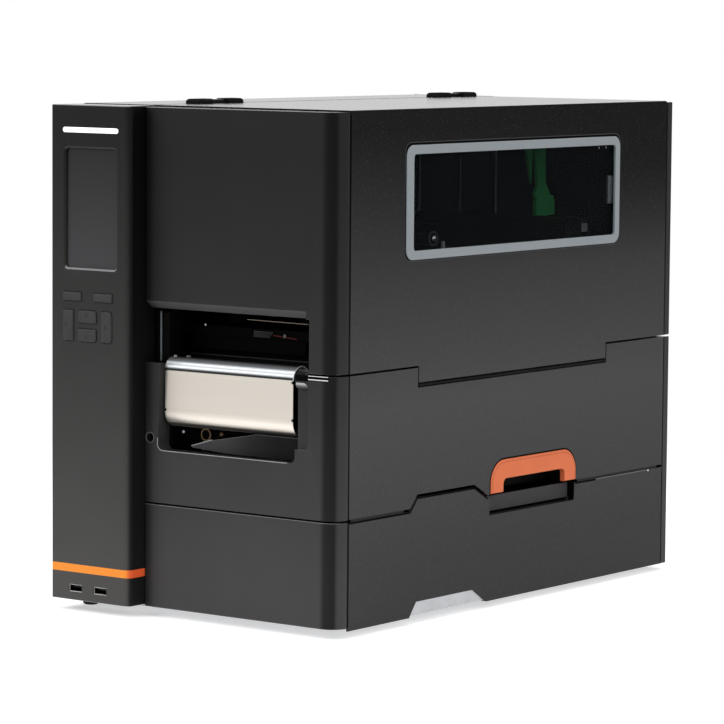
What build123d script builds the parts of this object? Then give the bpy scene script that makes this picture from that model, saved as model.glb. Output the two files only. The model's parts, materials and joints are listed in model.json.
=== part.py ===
from build123d import *
import os

# Label printer, closed, in millimetres.
# X runs to the machine's right as its operator faces it, Y to the back, Z up.
# The origin is on the desk, under the middle of the footprint.

os.makedirs("parts", exist_ok=True)

# Overall size of the closed machine
width = 276.0
depth = 502.0
height = 412.0

# Materials of the casing and the gaps between its pieces
sheet = 1.5
plastic = 3.0
seam = 1.6
side_seam = 1.0
play = 0.3
fit = 0.05
overrun = 5.0

# Outer faces
left = -width / 2
right = width / 2
front = -depth / 2
rear = depth / 2
half_seam = seam / 2

# Control column, which stands proud of the rest of the front
column_width = 82.0
column_proud = 19.3
column_depth = 34.0
column_floor = 9.2
column_drop = 0.5
column_corner = 6.0
column_left_corner = 1.0
column_right = left + column_width
column_back = front + column_depth
column_top = height - column_drop
column_inside = front + plastic

# Front faces of the media side, plastic in front and sheet metal behind
front_face = front + column_proud
front_left = column_right + half_seam
metal_front = column_back + side_seam
front_corner = 14.0
metal_back_inset = 8.5
metal_back = rear - metal_back_inset
strip_front = metal_back + side_seam

# Heights of the seams between lower, middle and upper panels
panel_floor = 5.6
front_floor = 8.0
seam_low = 92.5
seam_mid = 206.8

# Door fold, where the middle panel hangs on the upper one
fold_drop = 14.8
fold_gap_above = 2.2
fold_gap_below = 1.8
fold_front_inset = 127.0
fold_back_inset = 101.5
fold_z = seam_mid - fold_drop
fold_front = front + fold_front_inset
fold_back = rear - fold_back_inset
fold_x = right - sheet

# Lid hinge along the top left
hinge_inset = 5.0
hinge_x = column_right - hinge_inset
hinge_drop = 1.0
hinge_z = height - hinge_drop
hinge_seat_drop = 6.0
hinge_seat = height - hinge_seat_drop

# Centre wall between the media side and the electronics side
wall_thick = 4.0
wall_left = column_right
wall_right = wall_left + wall_thick
wall_front_gap = 2.0
wall_front = column_back + wall_front_gap
rear_sheet = 2.0
rear_panel_front = rear - rear_sheet

# Floor pan and feet
foot_height = 7.0
foot_radius = 6.5
pan_thick = 2.0
pan_top = foot_height + pan_thick

# Axes that run across the media side: the platen's from the front and the seam, the rest from it
platen_setback = 64.0
platen_drop = 3.8
platen_radius = 9.0
shaft_radius = 4.0
motor_reach = 66.0
motor_drop = 38.0
lever_reach = 66.0
lever_rise = 59.0
pivot_reach = 86.0
pivot_rise = 29.0
supply_reach = 171.0
supply_rise = 77.0
takeup_reach = 54.0
takeup_rise = 38.0
rewind_reach = 96.0
rewind_level_share = 0.531
hanger_inset = 109.0
hanger_drop = 119.5
platen_y = front + platen_setback
platen_z = seam_mid - platen_drop
motor_y = platen_y + motor_reach
motor_z = platen_z - motor_drop
lever_y = platen_y + lever_reach
lever_z = platen_z + lever_rise
pivot_y = platen_y + pivot_reach
pivot_z = platen_z + pivot_rise
supply_y = platen_y + supply_reach
supply_z = platen_z + supply_rise
takeup_y = platen_y + takeup_reach
takeup_z = lever_z + takeup_rise
rewind_y = platen_y + rewind_reach
rewind_z = pan_top + rewind_level_share * (platen_z - pan_top)
hanger_y = rear - hanger_inset
hanger_z = height - hanger_drop
spindle_axes = [(supply_y, supply_z), (takeup_y, takeup_z), (rewind_y, rewind_z)]

# Outer end of the print mechanism
frame_plate_inset = 43.0
frame_plate_thick = 4.0
frame_plate_x = right - frame_plate_inset
frame_plate_span = (frame_plate_x, frame_plate_x + frame_plate_thick)
platen_top = platen_z + platen_radius


def block(x_span, y_span, z_span, mode=Mode.ADD):
    """Adds or cuts a box between the given pairs of faces."""
    centre = [sum(span) / 2 for span in (x_span, y_span, z_span)]
    with Locations(tuple(centre)):
        Box(x_span[1] - x_span[0], y_span[1] - y_span[0], z_span[1] - z_span[0], mode=mode)


def rod_x(x_span, y, z, radius, mode=Mode.ADD):
    """Adds or cuts a cylinder along X."""
    with Locations((sum(x_span) / 2, y, z)):
        Cylinder(radius, x_span[1] - x_span[0], rotation=(0, 90, 0), mode=mode)


def rod_y(y_span, x, z, radius, mode=Mode.ADD):
    """Adds or cuts a cylinder along Y."""
    with Locations((x, sum(y_span) / 2, z)):
        Cylinder(radius, y_span[1] - y_span[0], rotation=(90, 0, 0), mode=mode)


def rod_z(z_span, x, y, radius, mode=Mode.ADD):
    """Adds or cuts a cylinder along Z."""
    with Locations((x, y, sum(z_span) / 2)):
        Cylinder(radius, z_span[1] - z_span[0], mode=mode)


def side_plate(points, x_span, mode=Mode.ADD):
    """Adds or cuts a plate whose outline is given as (y, z) points."""
    with BuildSketch(Plane.YZ.offset(x_span[0])) as profile:
        with BuildLine() as edge:
            Polyline(*points, close=True)
        make_face(edge.line)
    extrude(profile.sketch, amount=x_span[1] - x_span[0], mode=mode)


def side_pad(y_span, z_span, corner, x_span, mode=Mode.ADD):
    """Adds or cuts a rounded rectangle that faces sideways."""
    with BuildSketch(Plane.YZ.offset(x_span[0])) as profile:
        with Locations((sum(y_span) / 2, sum(z_span) / 2)):
            RectangleRounded(y_span[1] - y_span[0], z_span[1] - z_span[0], corner)
    extrude(profile.sketch, amount=x_span[1] - x_span[0], mode=mode)


def front_pad(x_span, z_span, corner, y_span, mode=Mode.ADD):
    """Adds or cuts a rounded rectangle that faces forwards."""
    with BuildSketch(Plane.XZ.offset(-y_span[1])) as profile:
        with Locations((sum(x_span) / 2, sum(z_span) / 2)):
            RectangleRounded(x_span[1] - x_span[0], z_span[1] - z_span[0], corner)
    extrude(profile.sketch, amount=y_span[1] - y_span[0], mode=mode)


def about(middle, size):
    """The pair of faces of a piece of the given size about its middle."""
    return (middle - size / 2, middle + size / 2)


def grown(span, amount):
    """The same pair of faces, each moved outwards."""
    return (span[0] - amount, span[1] + amount)


# Base tray: a folded steel pan that carries everything
tray_flange = 21.0
tray_front_reach = 12.0
tray_side_clear = 4.0
tray_front = metal_front - tray_front_reach
tray_back = rear - plastic
with BuildPart() as base_tray:
    block((left + sheet, right - sheet), (metal_front, metal_back), (foot_height, pan_top))
    for tongue_x in ((left + tray_side_clear, column_right - tray_side_clear),
                     (front_left + plastic + seam, right - plastic - front_corner)):
        block(tongue_x, (tray_front, metal_front), (foot_height, pan_top))
    block((left + sheet, wall_right), (metal_back, rear_panel_front), (foot_height, pan_top))
    block((wall_right, right - tray_side_clear), (metal_back, tray_back), (foot_height, pan_top))
    block((left + sheet, left + sheet + pan_thick), (metal_front, metal_back),
          (pan_top, pan_top + tray_flange))
    block((right - sheet - pan_thick, right - sheet), (metal_front, metal_back),
          (pan_top, pan_top + tray_flange))
    block((wall_right + seam, right - tray_side_clear), (tray_back - pan_thick, tray_back),
          (pan_top, pan_top + tray_flange))
base_tray.part.label = "base_tray"
export_step(base_tray.part, "parts/base_tray.step")

# Feet: four rubber studs under the pan
foot_side_inset = 10.0
foot_right_inset = 48.0
foot_front_inset = 37.0
foot_right_front_inset = 104.0
foot_back_inset = 36.0
foot_edge = 1.2
with BuildPart() as feet:
    for foot_x, front_inset in ((left + foot_side_inset, foot_front_inset),
                                (right - foot_right_inset, foot_right_front_inset)):
        for foot_y in (front + front_inset, rear - foot_back_inset):
            rod_z((0, foot_height), foot_x, foot_y, foot_radius)
    chamfer(feet.edges().group_by(Axis.Z)[0], foot_edge)
feet.part.label = "feet"
export_step(feet.part, "parts/feet.step")

# Left housing's edge at the top, beside the hinge
housing_corner = 6.0
housing_seam = 2.5
housing_right = hinge_x - housing_seam

# Centre wall: one casting with its ribs, bosses, bearing holes, hinge rail and motor bracket
bush_radius = 9.0
boss_radius = 14.0
boss_rise = 2.0
wall_foot = 20.0
wall_foot_thick = 3.0
rib_thick = 4.0
rib_rise = 3.0
rail_thick = 2.0
front_rib_inset = 119.0
back_rib_inset = 57.0
rib_top_drop = 14.0
rail_width = 24.0
rail_lip = 10.0
rail_left = wall_right - rail_width
motor_size = 57.0
motor_corner = 5.0
motor_pulley_radius = 8.0
mount_thick = 3.0
mount_reach = 30.0
mount_leg_reach = 12.0
mount_x = wall_left - mount_reach
mount_half = motor_size / 2 + mount_thick
rib_drop = 94.0
rib_gap = 68.0
rib_low = height - rib_drop
lower_rib_low = 40.0
lower_rib_high = rib_low - rib_gap
wall_top = hinge_seat - rail_thick
with BuildPart() as centre_wall:
    block((wall_left, wall_right), (wall_front, rear_panel_front), (pan_top, wall_top))
    block((wall_left - wall_foot, wall_left), (wall_front, metal_back), (pan_top, pan_top + wall_foot_thick))
    block((rail_left, wall_right), (wall_front, rear_panel_front), (wall_top, hinge_seat))
    block((housing_right + play, wall_right), (strip_front, rear_panel_front), (hinge_seat, height - play))
    block((rail_left, rail_left + rail_thick), (wall_front, metal_back), (wall_top - rail_lip, wall_top))
    block((mount_x, mount_x + mount_thick), about(motor_y, motor_size), about(motor_z, 2 * mount_half))
    block((mount_x + mount_thick, wall_left), about(motor_y, motor_size),
          (motor_z - mount_half, motor_z - mount_half + mount_thick))
    block((mount_x + mount_thick, wall_left), (motor_y - mount_leg_reach, motor_y + motor_size / 2),
          (motor_z + mount_half - mount_thick, motor_z + mount_half))
    rod_x((mount_x - overrun, mount_x + overrun), motor_y, motor_z, motor_pulley_radius, Mode.SUBTRACT)
    for rib_inset in (front_rib_inset, back_rib_inset):
        rib_span = about(rear - rib_inset, rib_thick)
        block((wall_right, wall_right + rib_rise), rib_span, (rib_low, wall_top - rib_top_drop))
        block((wall_right, wall_right + rib_rise), rib_span, (lower_rib_low, lower_rib_high))
    for axis_y, axis_z in spindle_axes:
        rod_x((wall_right, wall_right + boss_rise), axis_y, axis_z, boss_radius)
    for axis_y, axis_z in spindle_axes:
        rod_x((wall_left - overrun, wall_right + overrun), axis_y, axis_z, bush_radius, Mode.SUBTRACT)
    rod_x((wall_left - overrun, wall_right + overrun), platen_y, platen_z, bush_radius, Mode.SUBTRACT)
    rod_x((wall_left - overrun, wall_right + overrun), lever_y, lever_z, shaft_radius + fit, Mode.SUBTRACT)
centre_wall.part.label = "centre_wall"
export_step(centre_wall.part, "parts/centre_wall.step")

# Hinge blocks: a pair of ears at each hinge, and the pin through them for the lid's knuckle
hinge_block_long = 58.0
hinge_block_width = 14.0
hinge_block_rise = 4.0
hinge_front_inset = 114.0
hinge_back_inset = 52.2
hinge_pin_radius = 1.5
knuckle_radius = 4.4
knuckle_long = 19.0
hinge_corner = 2.5
hinge_sites = [front + hinge_front_inset, rear - hinge_back_inset]
hinge_block_top = height + hinge_block_rise
hinge_block_x = about(hinge_x, hinge_block_width)
with BuildPart() as hinge_blocks:
    for site in hinge_sites:
        block(hinge_block_x, about(site, hinge_block_long), (hinge_seat, hinge_block_top))
    fillet(hinge_blocks.edges().group_by(Axis.Z)[-1], hinge_corner)
    for site in hinge_sites:
        block(grown(hinge_block_x, overrun), about(site, knuckle_long + 2 * play),
              (hinge_seat - overrun, hinge_block_top + overrun), Mode.SUBTRACT)
        rod_y(about(site, hinge_block_long - 2 * hinge_corner), hinge_x, hinge_z, hinge_pin_radius)
hinge_blocks.part.label = "hinge_blocks"
export_step(hinge_blocks.part, "parts/hinge_blocks.step")

# Left housing: one folded sheet over the electronics, with its cooling slots
slot_long = 30.0
slot_high = 3.0
slot_pitch_y = 40.0
slot_pitch_z = 9.0
slot_columns = 6
slot_rows = 5
slot_middle_z = 120.0
slot_middle_inset = 172.2
with BuildPart() as left_housing:
    block((left, housing_right), (metal_front, rear_panel_front), (panel_floor, height))
    fillet(left_housing.edges().filter_by(Axis.Y).group_by(Axis.Z)[-1].sort_by(Axis.X)[0], housing_corner)
    block((left + sheet, housing_right + overrun), (metal_front - overrun, rear_panel_front + overrun),
          (panel_floor - overrun, height - housing_corner), Mode.SUBTRACT)
    block((left + housing_corner, housing_right - sheet),
          (metal_front - overrun, rear_panel_front + overrun),
          (height - housing_corner - overrun, height - sheet), Mode.SUBTRACT)
    with BuildSketch(Plane.XZ.offset(-metal_front + overrun)):
        with Locations((left + housing_corner, height - housing_corner)):
            Circle(housing_corner - sheet)
    extrude(amount=-(rear_panel_front - metal_front + 2 * overrun), mode=Mode.SUBTRACT)
    block((left + housing_corner, housing_right + overrun),
          (metal_front - overrun, rear_panel_front + overrun),
          (height - housing_corner - overrun, hinge_seat), Mode.SUBTRACT)
    for site in hinge_sites:
        block((hinge_block_x[0] - seam, housing_right + overrun), about(site, hinge_block_long + 2 * seam),
              (hinge_seat - overrun, height + overrun), Mode.SUBTRACT)
    with BuildSketch(Plane.YZ.offset(left - overrun)):
        with Locations((rear - slot_middle_inset, slot_middle_z)):
            with GridLocations(slot_pitch_y, slot_pitch_z, slot_columns, slot_rows):
                SlotOverall(slot_long, slot_high)
    extrude(amount=sheet + 2 * overrun, mode=Mode.SUBTRACT)
left_housing.part.label = "left_housing"
export_step(left_housing.part, "parts/left_housing.step")

# Rear panel of the electronics side, with the openings for its sockets
inlet_x = (left + column_right) / 2
inlet_z = 46.0
inlet_wide = 27.0
inlet_tall = 20.0
switch_gap = 32.0
switch_z = inlet_z + switch_gap
switch_wide = 21.0
switch_tall = 15.0
usb_b_z = 160.0
usb_b_wide = 12.0
usb_b_tall = 11.0
network_z = 190.0
network_wide = 16.0
network_tall = 13.5
serial_z = 226.0
serial_wide = 19.0
serial_tall = 10.0
vent_radius = 2.0
vent_pitch = 6.5
vent_columns = 8
vent_rows = 6
vent_drop = 92.0
vent_z = height - vent_drop
socket_spans = [
    (about(inlet_x, inlet_wide), about(inlet_z, inlet_tall)),
    (about(inlet_x, switch_wide), about(switch_z, switch_tall)),
    (about(inlet_x, usb_b_wide), about(usb_b_z, usb_b_tall)),
    (about(inlet_x, network_wide), about(network_z, network_tall)),
    (about(inlet_x, serial_wide), about(serial_z, serial_tall)),
]
with BuildPart() as rear_panel:
    block((left, wall_right), (rear_panel_front, rear), (panel_floor, height))
    for x_span, z_span in socket_spans:
        block(grown(x_span, fit), (rear_panel_front - overrun, rear + overrun), grown(z_span, fit),
              Mode.SUBTRACT)
    with BuildSketch(Plane.XZ.offset(-rear - overrun)):
        with Locations((inlet_x, vent_z)):
            with GridLocations(vent_pitch, vent_pitch, vent_columns, vent_rows):
                Circle(vent_radius)
    extrude(amount=rear_sheet + 2 * overrun, mode=Mode.SUBTRACT)
rear_panel.part.label = "rear_panel"
export_step(rear_panel.part, "parts/rear_panel.step")

# Rear wall of the media side below the lid, a moulded shell
rear_wall_left = wall_right + half_seam
with BuildPart() as media_rear_wall:
    block((rear_wall_left, right), (strip_front, rear), (panel_floor, seam_mid - half_seam))
    block((rear_wall_left - overrun, right - plastic), (strip_front - overrun, rear - plastic),
          (panel_floor - overrun, seam_mid - half_seam - plastic), Mode.SUBTRACT)
media_rear_wall.part.label = "media_rear_wall"
export_step(media_rear_wall.part, "parts/media_rear_wall.step")


def front_shell(z_span, pockets):
    """A moulded front with a round right corner, hollowed from behind by the given pockets."""
    x_span = (front_left, right)
    y_span = (front_face, column_back)
    with BuildPart() as shell:
        with BuildSketch(Plane.XY.offset(z_span[0])) as outline:
            with Locations((sum(x_span) / 2, sum(y_span) / 2)):
                Rectangle(x_span[1] - x_span[0], y_span[1] - y_span[0])
            fillet(outline.vertices().group_by(Axis.Y)[0].sort_by(Axis.X)[-1], front_corner)
        extrude(amount=z_span[1] - z_span[0])
        for pocket_x, pocket_z in pockets:
            round_right = pocket_x[1] > right - plastic - seam
            with BuildSketch(Plane.XY.offset(pocket_z[0])) as hollow:
                with Locations((sum(pocket_x) / 2, (front_face + plastic + column_back + overrun) / 2)):
                    Rectangle(pocket_x[1] - pocket_x[0], column_back + overrun - front_face - plastic)
                if round_right:
                    fillet(hollow.vertices().group_by(Axis.Y)[0].sort_by(Axis.X)[-1],
                           front_corner - plastic)
            extrude(amount=pocket_z[1] - pocket_z[0], mode=Mode.SUBTRACT)
    return shell


# Lower front panel
lower_front_top = seam_low - half_seam
pocket_x = (front_left + plastic, right - plastic)
lower_front_panel = front_shell(
    (front_floor, lower_front_top),
    [(pocket_x, (front_floor - overrun, lower_front_top - plastic))])
lower_front_panel.part.label = "lower_front_panel"
export_step(lower_front_panel.part, "parts/lower_front_panel.step")

# Panel screws: cross-slotted, all of one size
screw_head = 2.9
screw_head_thick = 1.2
screw_slot = 0.6
screw_shank = 1.4
screw_margin = 6.0

# Exit cover: the middle front, with a window for the labels that come back to be rewound
exit_left_margin = 16.2
exit_flare = 3.6
exit_right_inset = 41.1
exit_floor_share = 0.379
exit_left = front_left + exit_left_margin
exit_right = right - exit_right_inset
exit_floor = seam_low + exit_floor_share * (seam_mid - seam_low)
exit_corner = 5.5
cover_floor = seam_low + half_seam
cover_top = seam_mid - half_seam
step_wide = 13.0
step_right = exit_right + step_wide
step_rise = 11.2
step_drop = 6.8
step_floor = exit_floor + step_rise
step_top = seam_mid - step_drop
step_deep = 4.0
exit_screw_rise = 9.8
exit_screw_inset = 5.1
exit_screw_x = front_left + exit_screw_inset
exit_screw_z = exit_floor + exit_screw_rise
exit_screw_radius = 3.6
exit_screw_seat = column_back - plastic
exit_pockets = [
    ((step_right + plastic, right - plastic), (cover_floor + plastic, cover_top - plastic)),
    ((front_left + plastic, step_right + plastic), (cover_floor + plastic, exit_floor - plastic)),
]
exit_cover = front_shell((cover_floor, cover_top), exit_pockets)
with BuildPart() as exit_cover_cut:
    add(exit_cover.part)
    front_pad((exit_left, exit_right), (exit_floor, cover_top + 2 * exit_corner), exit_corner,
              (front_face - overrun, column_back + overrun), Mode.SUBTRACT)
    front_pad((exit_right - exit_corner, step_right), (step_floor, step_top), exit_corner,
              (front_face - overrun, front_face + step_deep), Mode.SUBTRACT)
    flare_right = exit_left + 2 * exit_corner
    flare_top = cover_top + exit_corner
    with BuildSketch(Plane.XZ.offset(-column_back - overrun)) as flare_outline:
        with BuildLine():
            Polyline((exit_left, flare_top), (exit_left - exit_flare, exit_floor),
                     (flare_right, exit_floor), (flare_right, flare_top), close=True)
        make_face()
        fillet(flare_outline.vertices().sort_by(Axis.X)[0], exit_corner)
    extrude(amount=column_back - front_face + 2 * overrun, mode=Mode.SUBTRACT)
    rod_y((front_face - overrun, exit_screw_seat), exit_screw_x, exit_screw_z, exit_screw_radius,
          Mode.SUBTRACT)
    rod_y((exit_screw_seat - overrun, column_back + overrun), exit_screw_x, exit_screw_z,
          screw_shank + fit, Mode.SUBTRACT)
exit_cover_cut.part.label = "exit_cover"
export_step(exit_cover_cut.part, "parts/exit_cover.step")

# Column shell: the tall moulding with the light bar, screen, keys and sockets in its face
face_middle_share = 0.5013
light_drop = 20.6
light_x = left + face_middle_share * column_width
light_z = height - light_drop
light_long = 58.6
light_high = 4.3
screen_wide = 57.0
screen_tall = 99.4
screen_drop = 83.5
screen_x = left + face_middle_share * column_width
screen_z = height - screen_drop
screen_corner = 3.0
screen_bevel = 1.5
stripe_low = 32.2
stripe_high = 38.8
stripe_thick = 0.8
port_x_inset = 25.2
port_pitch = 26.2
port_wide = 14.0
port_tall = 6.0
port_z = 19.0
port_x = [left + port_x_inset, left + port_x_inset + port_pitch]
port_spans = [(about(x, port_wide), about(port_z, port_tall)) for x in port_x]

# Keys: two soft keys under the screen and four arrow keys, each (x, z, wide, tall, way it points)
soft_wide = 19.7
soft_tall = 7.1
soft_drop = 71.3
soft_inset = 22.2
soft_pitch = 32.4
pad_inset = 38.3
pad_drop = 23.5
side_wide = 11.2
side_tall = 25.1
side_offset = 20.2
tall_offset = 7.5
up_wide = 19.3
up_tall = 10.4
key_corner = 0.8
key_round = 3.0
key_gap = 0.35
key_proud = 1.2
key_edge = 0.6
key_lip = 1.2
key_lip_thick = 1.4
stem_radius = 2.2
glyph_radius = 2.0
glyph_deep = 0.4
side_glyph_shift = 1.9
tall_glyph_shift = 1.1
pad_x = left + pad_inset
soft_z = screen_z - soft_drop
pad_z = soft_z - pad_drop
keys = {
    "soft_key_left": (left + soft_inset, soft_z, soft_wide, soft_tall, None),
    "soft_key_right": (left + soft_inset + soft_pitch, soft_z, soft_wide, soft_tall, None),
    "arrow_key_left": (pad_x - side_offset, pad_z, side_wide, side_tall, "left"),
    "arrow_key_right": (pad_x + side_offset, pad_z, side_wide, side_tall, "right"),
    "arrow_key_up": (pad_x, pad_z + tall_offset, up_wide, up_tall, "up"),
    "arrow_key_down": (pad_x, pad_z - tall_offset, up_wide, up_tall, "down"),
}
outer_side = {"left": (Axis.X, 0), "right": (Axis.X, -1), "up": (Axis.Y, -1), "down": (Axis.Y, 0)}
glyph_turn = {"left": 180, "right": 0, "up": 90, "down": -90}
glyph_shift = {"left": (-side_glyph_shift, 0), "right": (0, 0), "up": (0, tall_glyph_shift),
               "down": (0, -tall_glyph_shift)}


def key_outline(wide, tall, points, grow=0):
    """A key's rectangle, rounder at the end that it points to."""
    with BuildSketch() as outline:
        Rectangle(wide + 2 * grow, tall + 2 * grow)
        if points:
            axis, side = outer_side[points]
            fillet(outline.vertices().group_by(axis)[side], key_round + grow)
        sharp = [v for v in outline.vertices() if not points or is_square_corner(v, wide, tall, grow)]
        fillet(sharp, key_corner)
    return outline.sketch


def is_square_corner(vertex, wide, tall, grow):
    """True for a corner of the full rectangle that no round has replaced."""
    close = key_corner / 2
    on_side = abs(abs(vertex.X) - wide / 2 - grow) < close
    on_end = abs(abs(vertex.Y) - tall / 2 - grow) < close
    return on_side and on_end


def front_outline(sketch, x, z, y_span, mode=Mode.ADD):
    """Carries an outline drawn about its middle through the column's face."""
    with BuildSketch(Plane.XZ.offset(-y_span[1])) as profile:
        with Locations((x, z)):
            add(sketch)
    extrude(profile.sketch, amount=y_span[1] - y_span[0], mode=mode)


# Circuit board behind the column's face, and the posts that carry it
board_thick = 1.6
board_deep = 14.0
board_edge = 8.0
board_drop = 28.7
board_top_drop = 8.0
board_low = pad_z - board_drop
board_high = height - board_top_drop
post_radius = 3.0
post_inset = 9.0
board_front = front + board_deep
post_x = (left + board_edge + post_inset / 2, column_right - board_edge - post_inset / 2)
post_z = (board_low + post_inset, board_high - post_inset / 2)
face_edge = 0.9


def round_column(outline, left_corner, right_corner):
    """Rounds the two front corners of the column's outline."""
    fillet(outline.vertices().group_by(Axis.Y)[0].sort_by(Axis.X)[-1], right_corner)
    fillet(outline.vertices().group_by(Axis.Y)[0].sort_by(Axis.X)[0], left_corner)


# Outline of the stripe: a thin band round the front of the column, inside its rounded corners
stripe_inside = (left + stripe_thick, column_right - stripe_thick)
with BuildSketch() as stripe_core:
    with Locations((sum(stripe_inside) / 2, (front + stripe_thick + column_back + overrun) / 2)):
        Rectangle(stripe_inside[1] - stripe_inside[0], column_back + overrun - front - stripe_thick)
    round_column(stripe_core, column_left_corner - stripe_thick, column_corner - stripe_thick)
with BuildSketch() as stripe_outline:
    with Locations(((left + column_right) / 2, (front + column_back) / 2)):
        Rectangle(column_width, column_depth)
    round_column(stripe_outline, column_left_corner, column_corner)
    add(stripe_core.sketch, mode=Mode.SUBTRACT)
stripe_ring = stripe_outline.sketch
with BuildPart() as column_shell:
    with BuildSketch(Plane.XY.offset(column_floor)) as column_outline:
        with Locations(((left + column_right) / 2, (front + column_back) / 2)):
            Rectangle(column_width, column_depth)
        round_column(column_outline, column_left_corner, column_corner)
    extrude(amount=column_top - column_floor)
    fillet(column_shell.edges().group_by(Axis.Z)[-1], face_edge)
    fillet(column_shell.edges().group_by(Axis.Z)[0], face_edge)
    with BuildSketch(Plane.XY.offset(column_floor + plastic)) as column_hollow:
        with Locations(((left + column_right) / 2, (column_inside + column_back + overrun) / 2)):
            Rectangle(column_width - 2 * plastic, column_depth - plastic + overrun)
        fillet(column_hollow.vertices().group_by(Axis.Y)[0].sort_by(Axis.X)[-1], column_corner - plastic)
    extrude(amount=column_top - column_floor - 2 * plastic, mode=Mode.SUBTRACT)
    for x in post_x:
        for z in post_z:
            rod_y((front + plastic / 2, board_front), x, z, post_radius)
    front_pad(about(light_x, light_long), about(light_z, light_high), light_high / 2 - fit,
              (front - overrun, column_inside + overrun), Mode.SUBTRACT)
    front_pad(about(screen_x, screen_wide - 2 * screen_bevel),
              about(screen_z, screen_tall - 2 * screen_bevel), screen_corner,
              (front - overrun, column_inside + overrun), Mode.SUBTRACT)
    with BuildSketch(Plane.XZ.offset(-front)):
        with Locations((screen_x, screen_z)):
            RectangleRounded(screen_wide, screen_tall, screen_corner + screen_bevel)
    with BuildSketch(Plane.XZ.offset(-front - screen_bevel)):
        with Locations((screen_x, screen_z)):
            RectangleRounded(screen_wide - 2 * screen_bevel, screen_tall - 2 * screen_bevel, screen_corner)
    loft(mode=Mode.SUBTRACT)
    for key_x, key_z, key_wide, key_tall, points in keys.values():
        front_outline(key_outline(key_wide, key_tall, points, key_gap), key_x, key_z,
                      (front - overrun, column_inside + overrun), Mode.SUBTRACT)
    for x_span, z_span in port_spans:
        block(grown(x_span, fit), (front - overrun, column_inside + overrun), grown(z_span, fit),
              Mode.SUBTRACT)
    with BuildSketch(Plane.XY.offset(stripe_low)):
        add(stripe_ring)
    extrude(amount=stripe_high - stripe_low, mode=Mode.SUBTRACT)
column_shell.part.label = "column_shell"
export_step(column_shell.part, "parts/column_shell.step")

# Accent stripe let into the column's face and round both its corners
with BuildPart() as accent_stripe:
    with BuildSketch(Plane.XY.offset(stripe_low)):
        add(stripe_ring)
    extrude(amount=stripe_high - stripe_low)
accent_stripe.part.label = "accent_stripe"
export_step(accent_stripe.part, "parts/accent_stripe.step")

# Light bar: a clear moulding that reaches back to the board
with BuildPart() as light_bar:
    front_pad(about(light_x, light_long), about(light_z, light_high), light_high / 2 - fit,
              (front, board_front))
light_bar.part.label = "light_bar"
export_step(light_bar.part, "parts/light_bar.step")

# Display module between the column's face and the board
display_lip = 4.0
with BuildPart() as display_module:
    front_pad(about(screen_x, screen_wide + display_lip), about(screen_z, screen_tall + display_lip),
              screen_corner, (column_inside, board_front))
display_module.part.label = "display_module"
export_step(display_module.part, "parts/display_module.step")

# Keys
dome_seat = 5.0
dome_radius = 4.0
dome_top = 2.6
for name, (key_x, key_z, key_wide, key_tall, points) in keys.items():
    with BuildPart() as key:
        front_outline(key_outline(key_wide, key_tall, points), key_x, key_z,
                      (front - key_proud, column_inside + fit))
        chamfer(key.edges().group_by(Axis.Y)[0], key_edge)
        front_outline(key_outline(key_wide, key_tall, points, key_lip), key_x, key_z,
                      (column_inside + fit, column_inside + fit + key_lip_thick))
        rod_y((column_inside + key_lip_thick, board_front - dome_seat), key_x, key_z, stem_radius)
        if points:
            with BuildSketch(Plane.XZ.offset(-front + key_proud - glyph_deep)):
                with Locations((key_x + glyph_shift[points][0], key_z + glyph_shift[points][1])):
                    RegularPolygon(glyph_radius, 3, rotation=glyph_turn[points])
            extrude(amount=glyph_deep + overrun, mode=Mode.SUBTRACT)
    key.part.label = name
    export_step(key.part, f"parts/{name}.step")

# Rubber domes between the key stems and the board
with BuildPart() as key_domes:
    for key_x, key_z, key_wide, key_tall, points in keys.values():
        with BuildSketch(Plane.XZ.offset(-board_front)):
            with Locations((key_x, key_z)):
                Circle(dome_radius)
        with BuildSketch(Plane.XZ.offset(-board_front + dome_seat - play)):
            with Locations((key_x, key_z)):
                Circle(dome_top)
        loft()
key_domes.part.label = "key_domes"
export_step(key_domes.part, "parts/key_domes.step")

# Front circuit board with the chips on its back
chip_high = 2.0
chip_size = 16.0
chip_z = (board_low + board_high) / 2
with BuildPart() as front_board:
    block((left + board_edge, column_right - board_edge), (board_front, board_front + board_thick),
          (board_low, board_high))
    with BuildSketch(Plane.XZ.offset(-board_front - board_thick)):
        with Locations(((left + column_right) / 2, chip_z)):
            with GridLocations(2 * chip_size, 2 * chip_size, 2, 4):
                Rectangle(chip_size, chip_size)
    extrude(amount=-chip_high)
front_board.part.label = "front_board"
export_step(front_board.part, "parts/front_board.step")

# Front sockets: two sleeves with their tongues, on a small board on the column's floor
sleeve = 0.5
socket_deep = 15.0
tongue_high = 1.8
tongue_back = 3.0
port_inset = 0.8
port_board_low = column_floor + plastic
socket_board_reach = 22.0
with BuildPart() as front_sockets:
    for x_span, z_span in port_spans:
        block(x_span, (front + port_inset, front + socket_deep), z_span)
        block(grown(x_span, -sleeve), (front - overrun, front + socket_deep - sleeve), grown(z_span, -sleeve),
              Mode.SUBTRACT)
        block(grown(x_span, -sleeve), (front + port_inset + tongue_back, front + socket_deep - sleeve),
              (port_z, port_z + tongue_high))
    block((port_spans[0][0][0] - sleeve, port_spans[1][0][1] + sleeve),
          (front + socket_deep, front + socket_deep + board_thick),
          (port_board_low, port_board_low + socket_board_reach))
    block((port_spans[0][0][0] - sleeve, port_spans[1][0][1] + sleeve),
          (front + socket_deep + board_thick, column_back - board_thick),
          (port_board_low, port_board_low + board_thick))
front_sockets.part.label = "front_sockets"
export_step(front_sockets.part, "parts/front_sockets.step")


def seam_line(shift):
    """The seam between base and middle panel as (y, z) points, moved up by the shift."""
    return [
        (metal_front, seam_low + shift),
        (tab_start, seam_low + shift),
        (tab_top_start, seam_low + tab_rise + shift),
        (tab_top_end, seam_low + tab_rise + shift),
        (tab_end, seam_low + shift),
        (metal_back, seam_low + shift),
    ]


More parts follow.
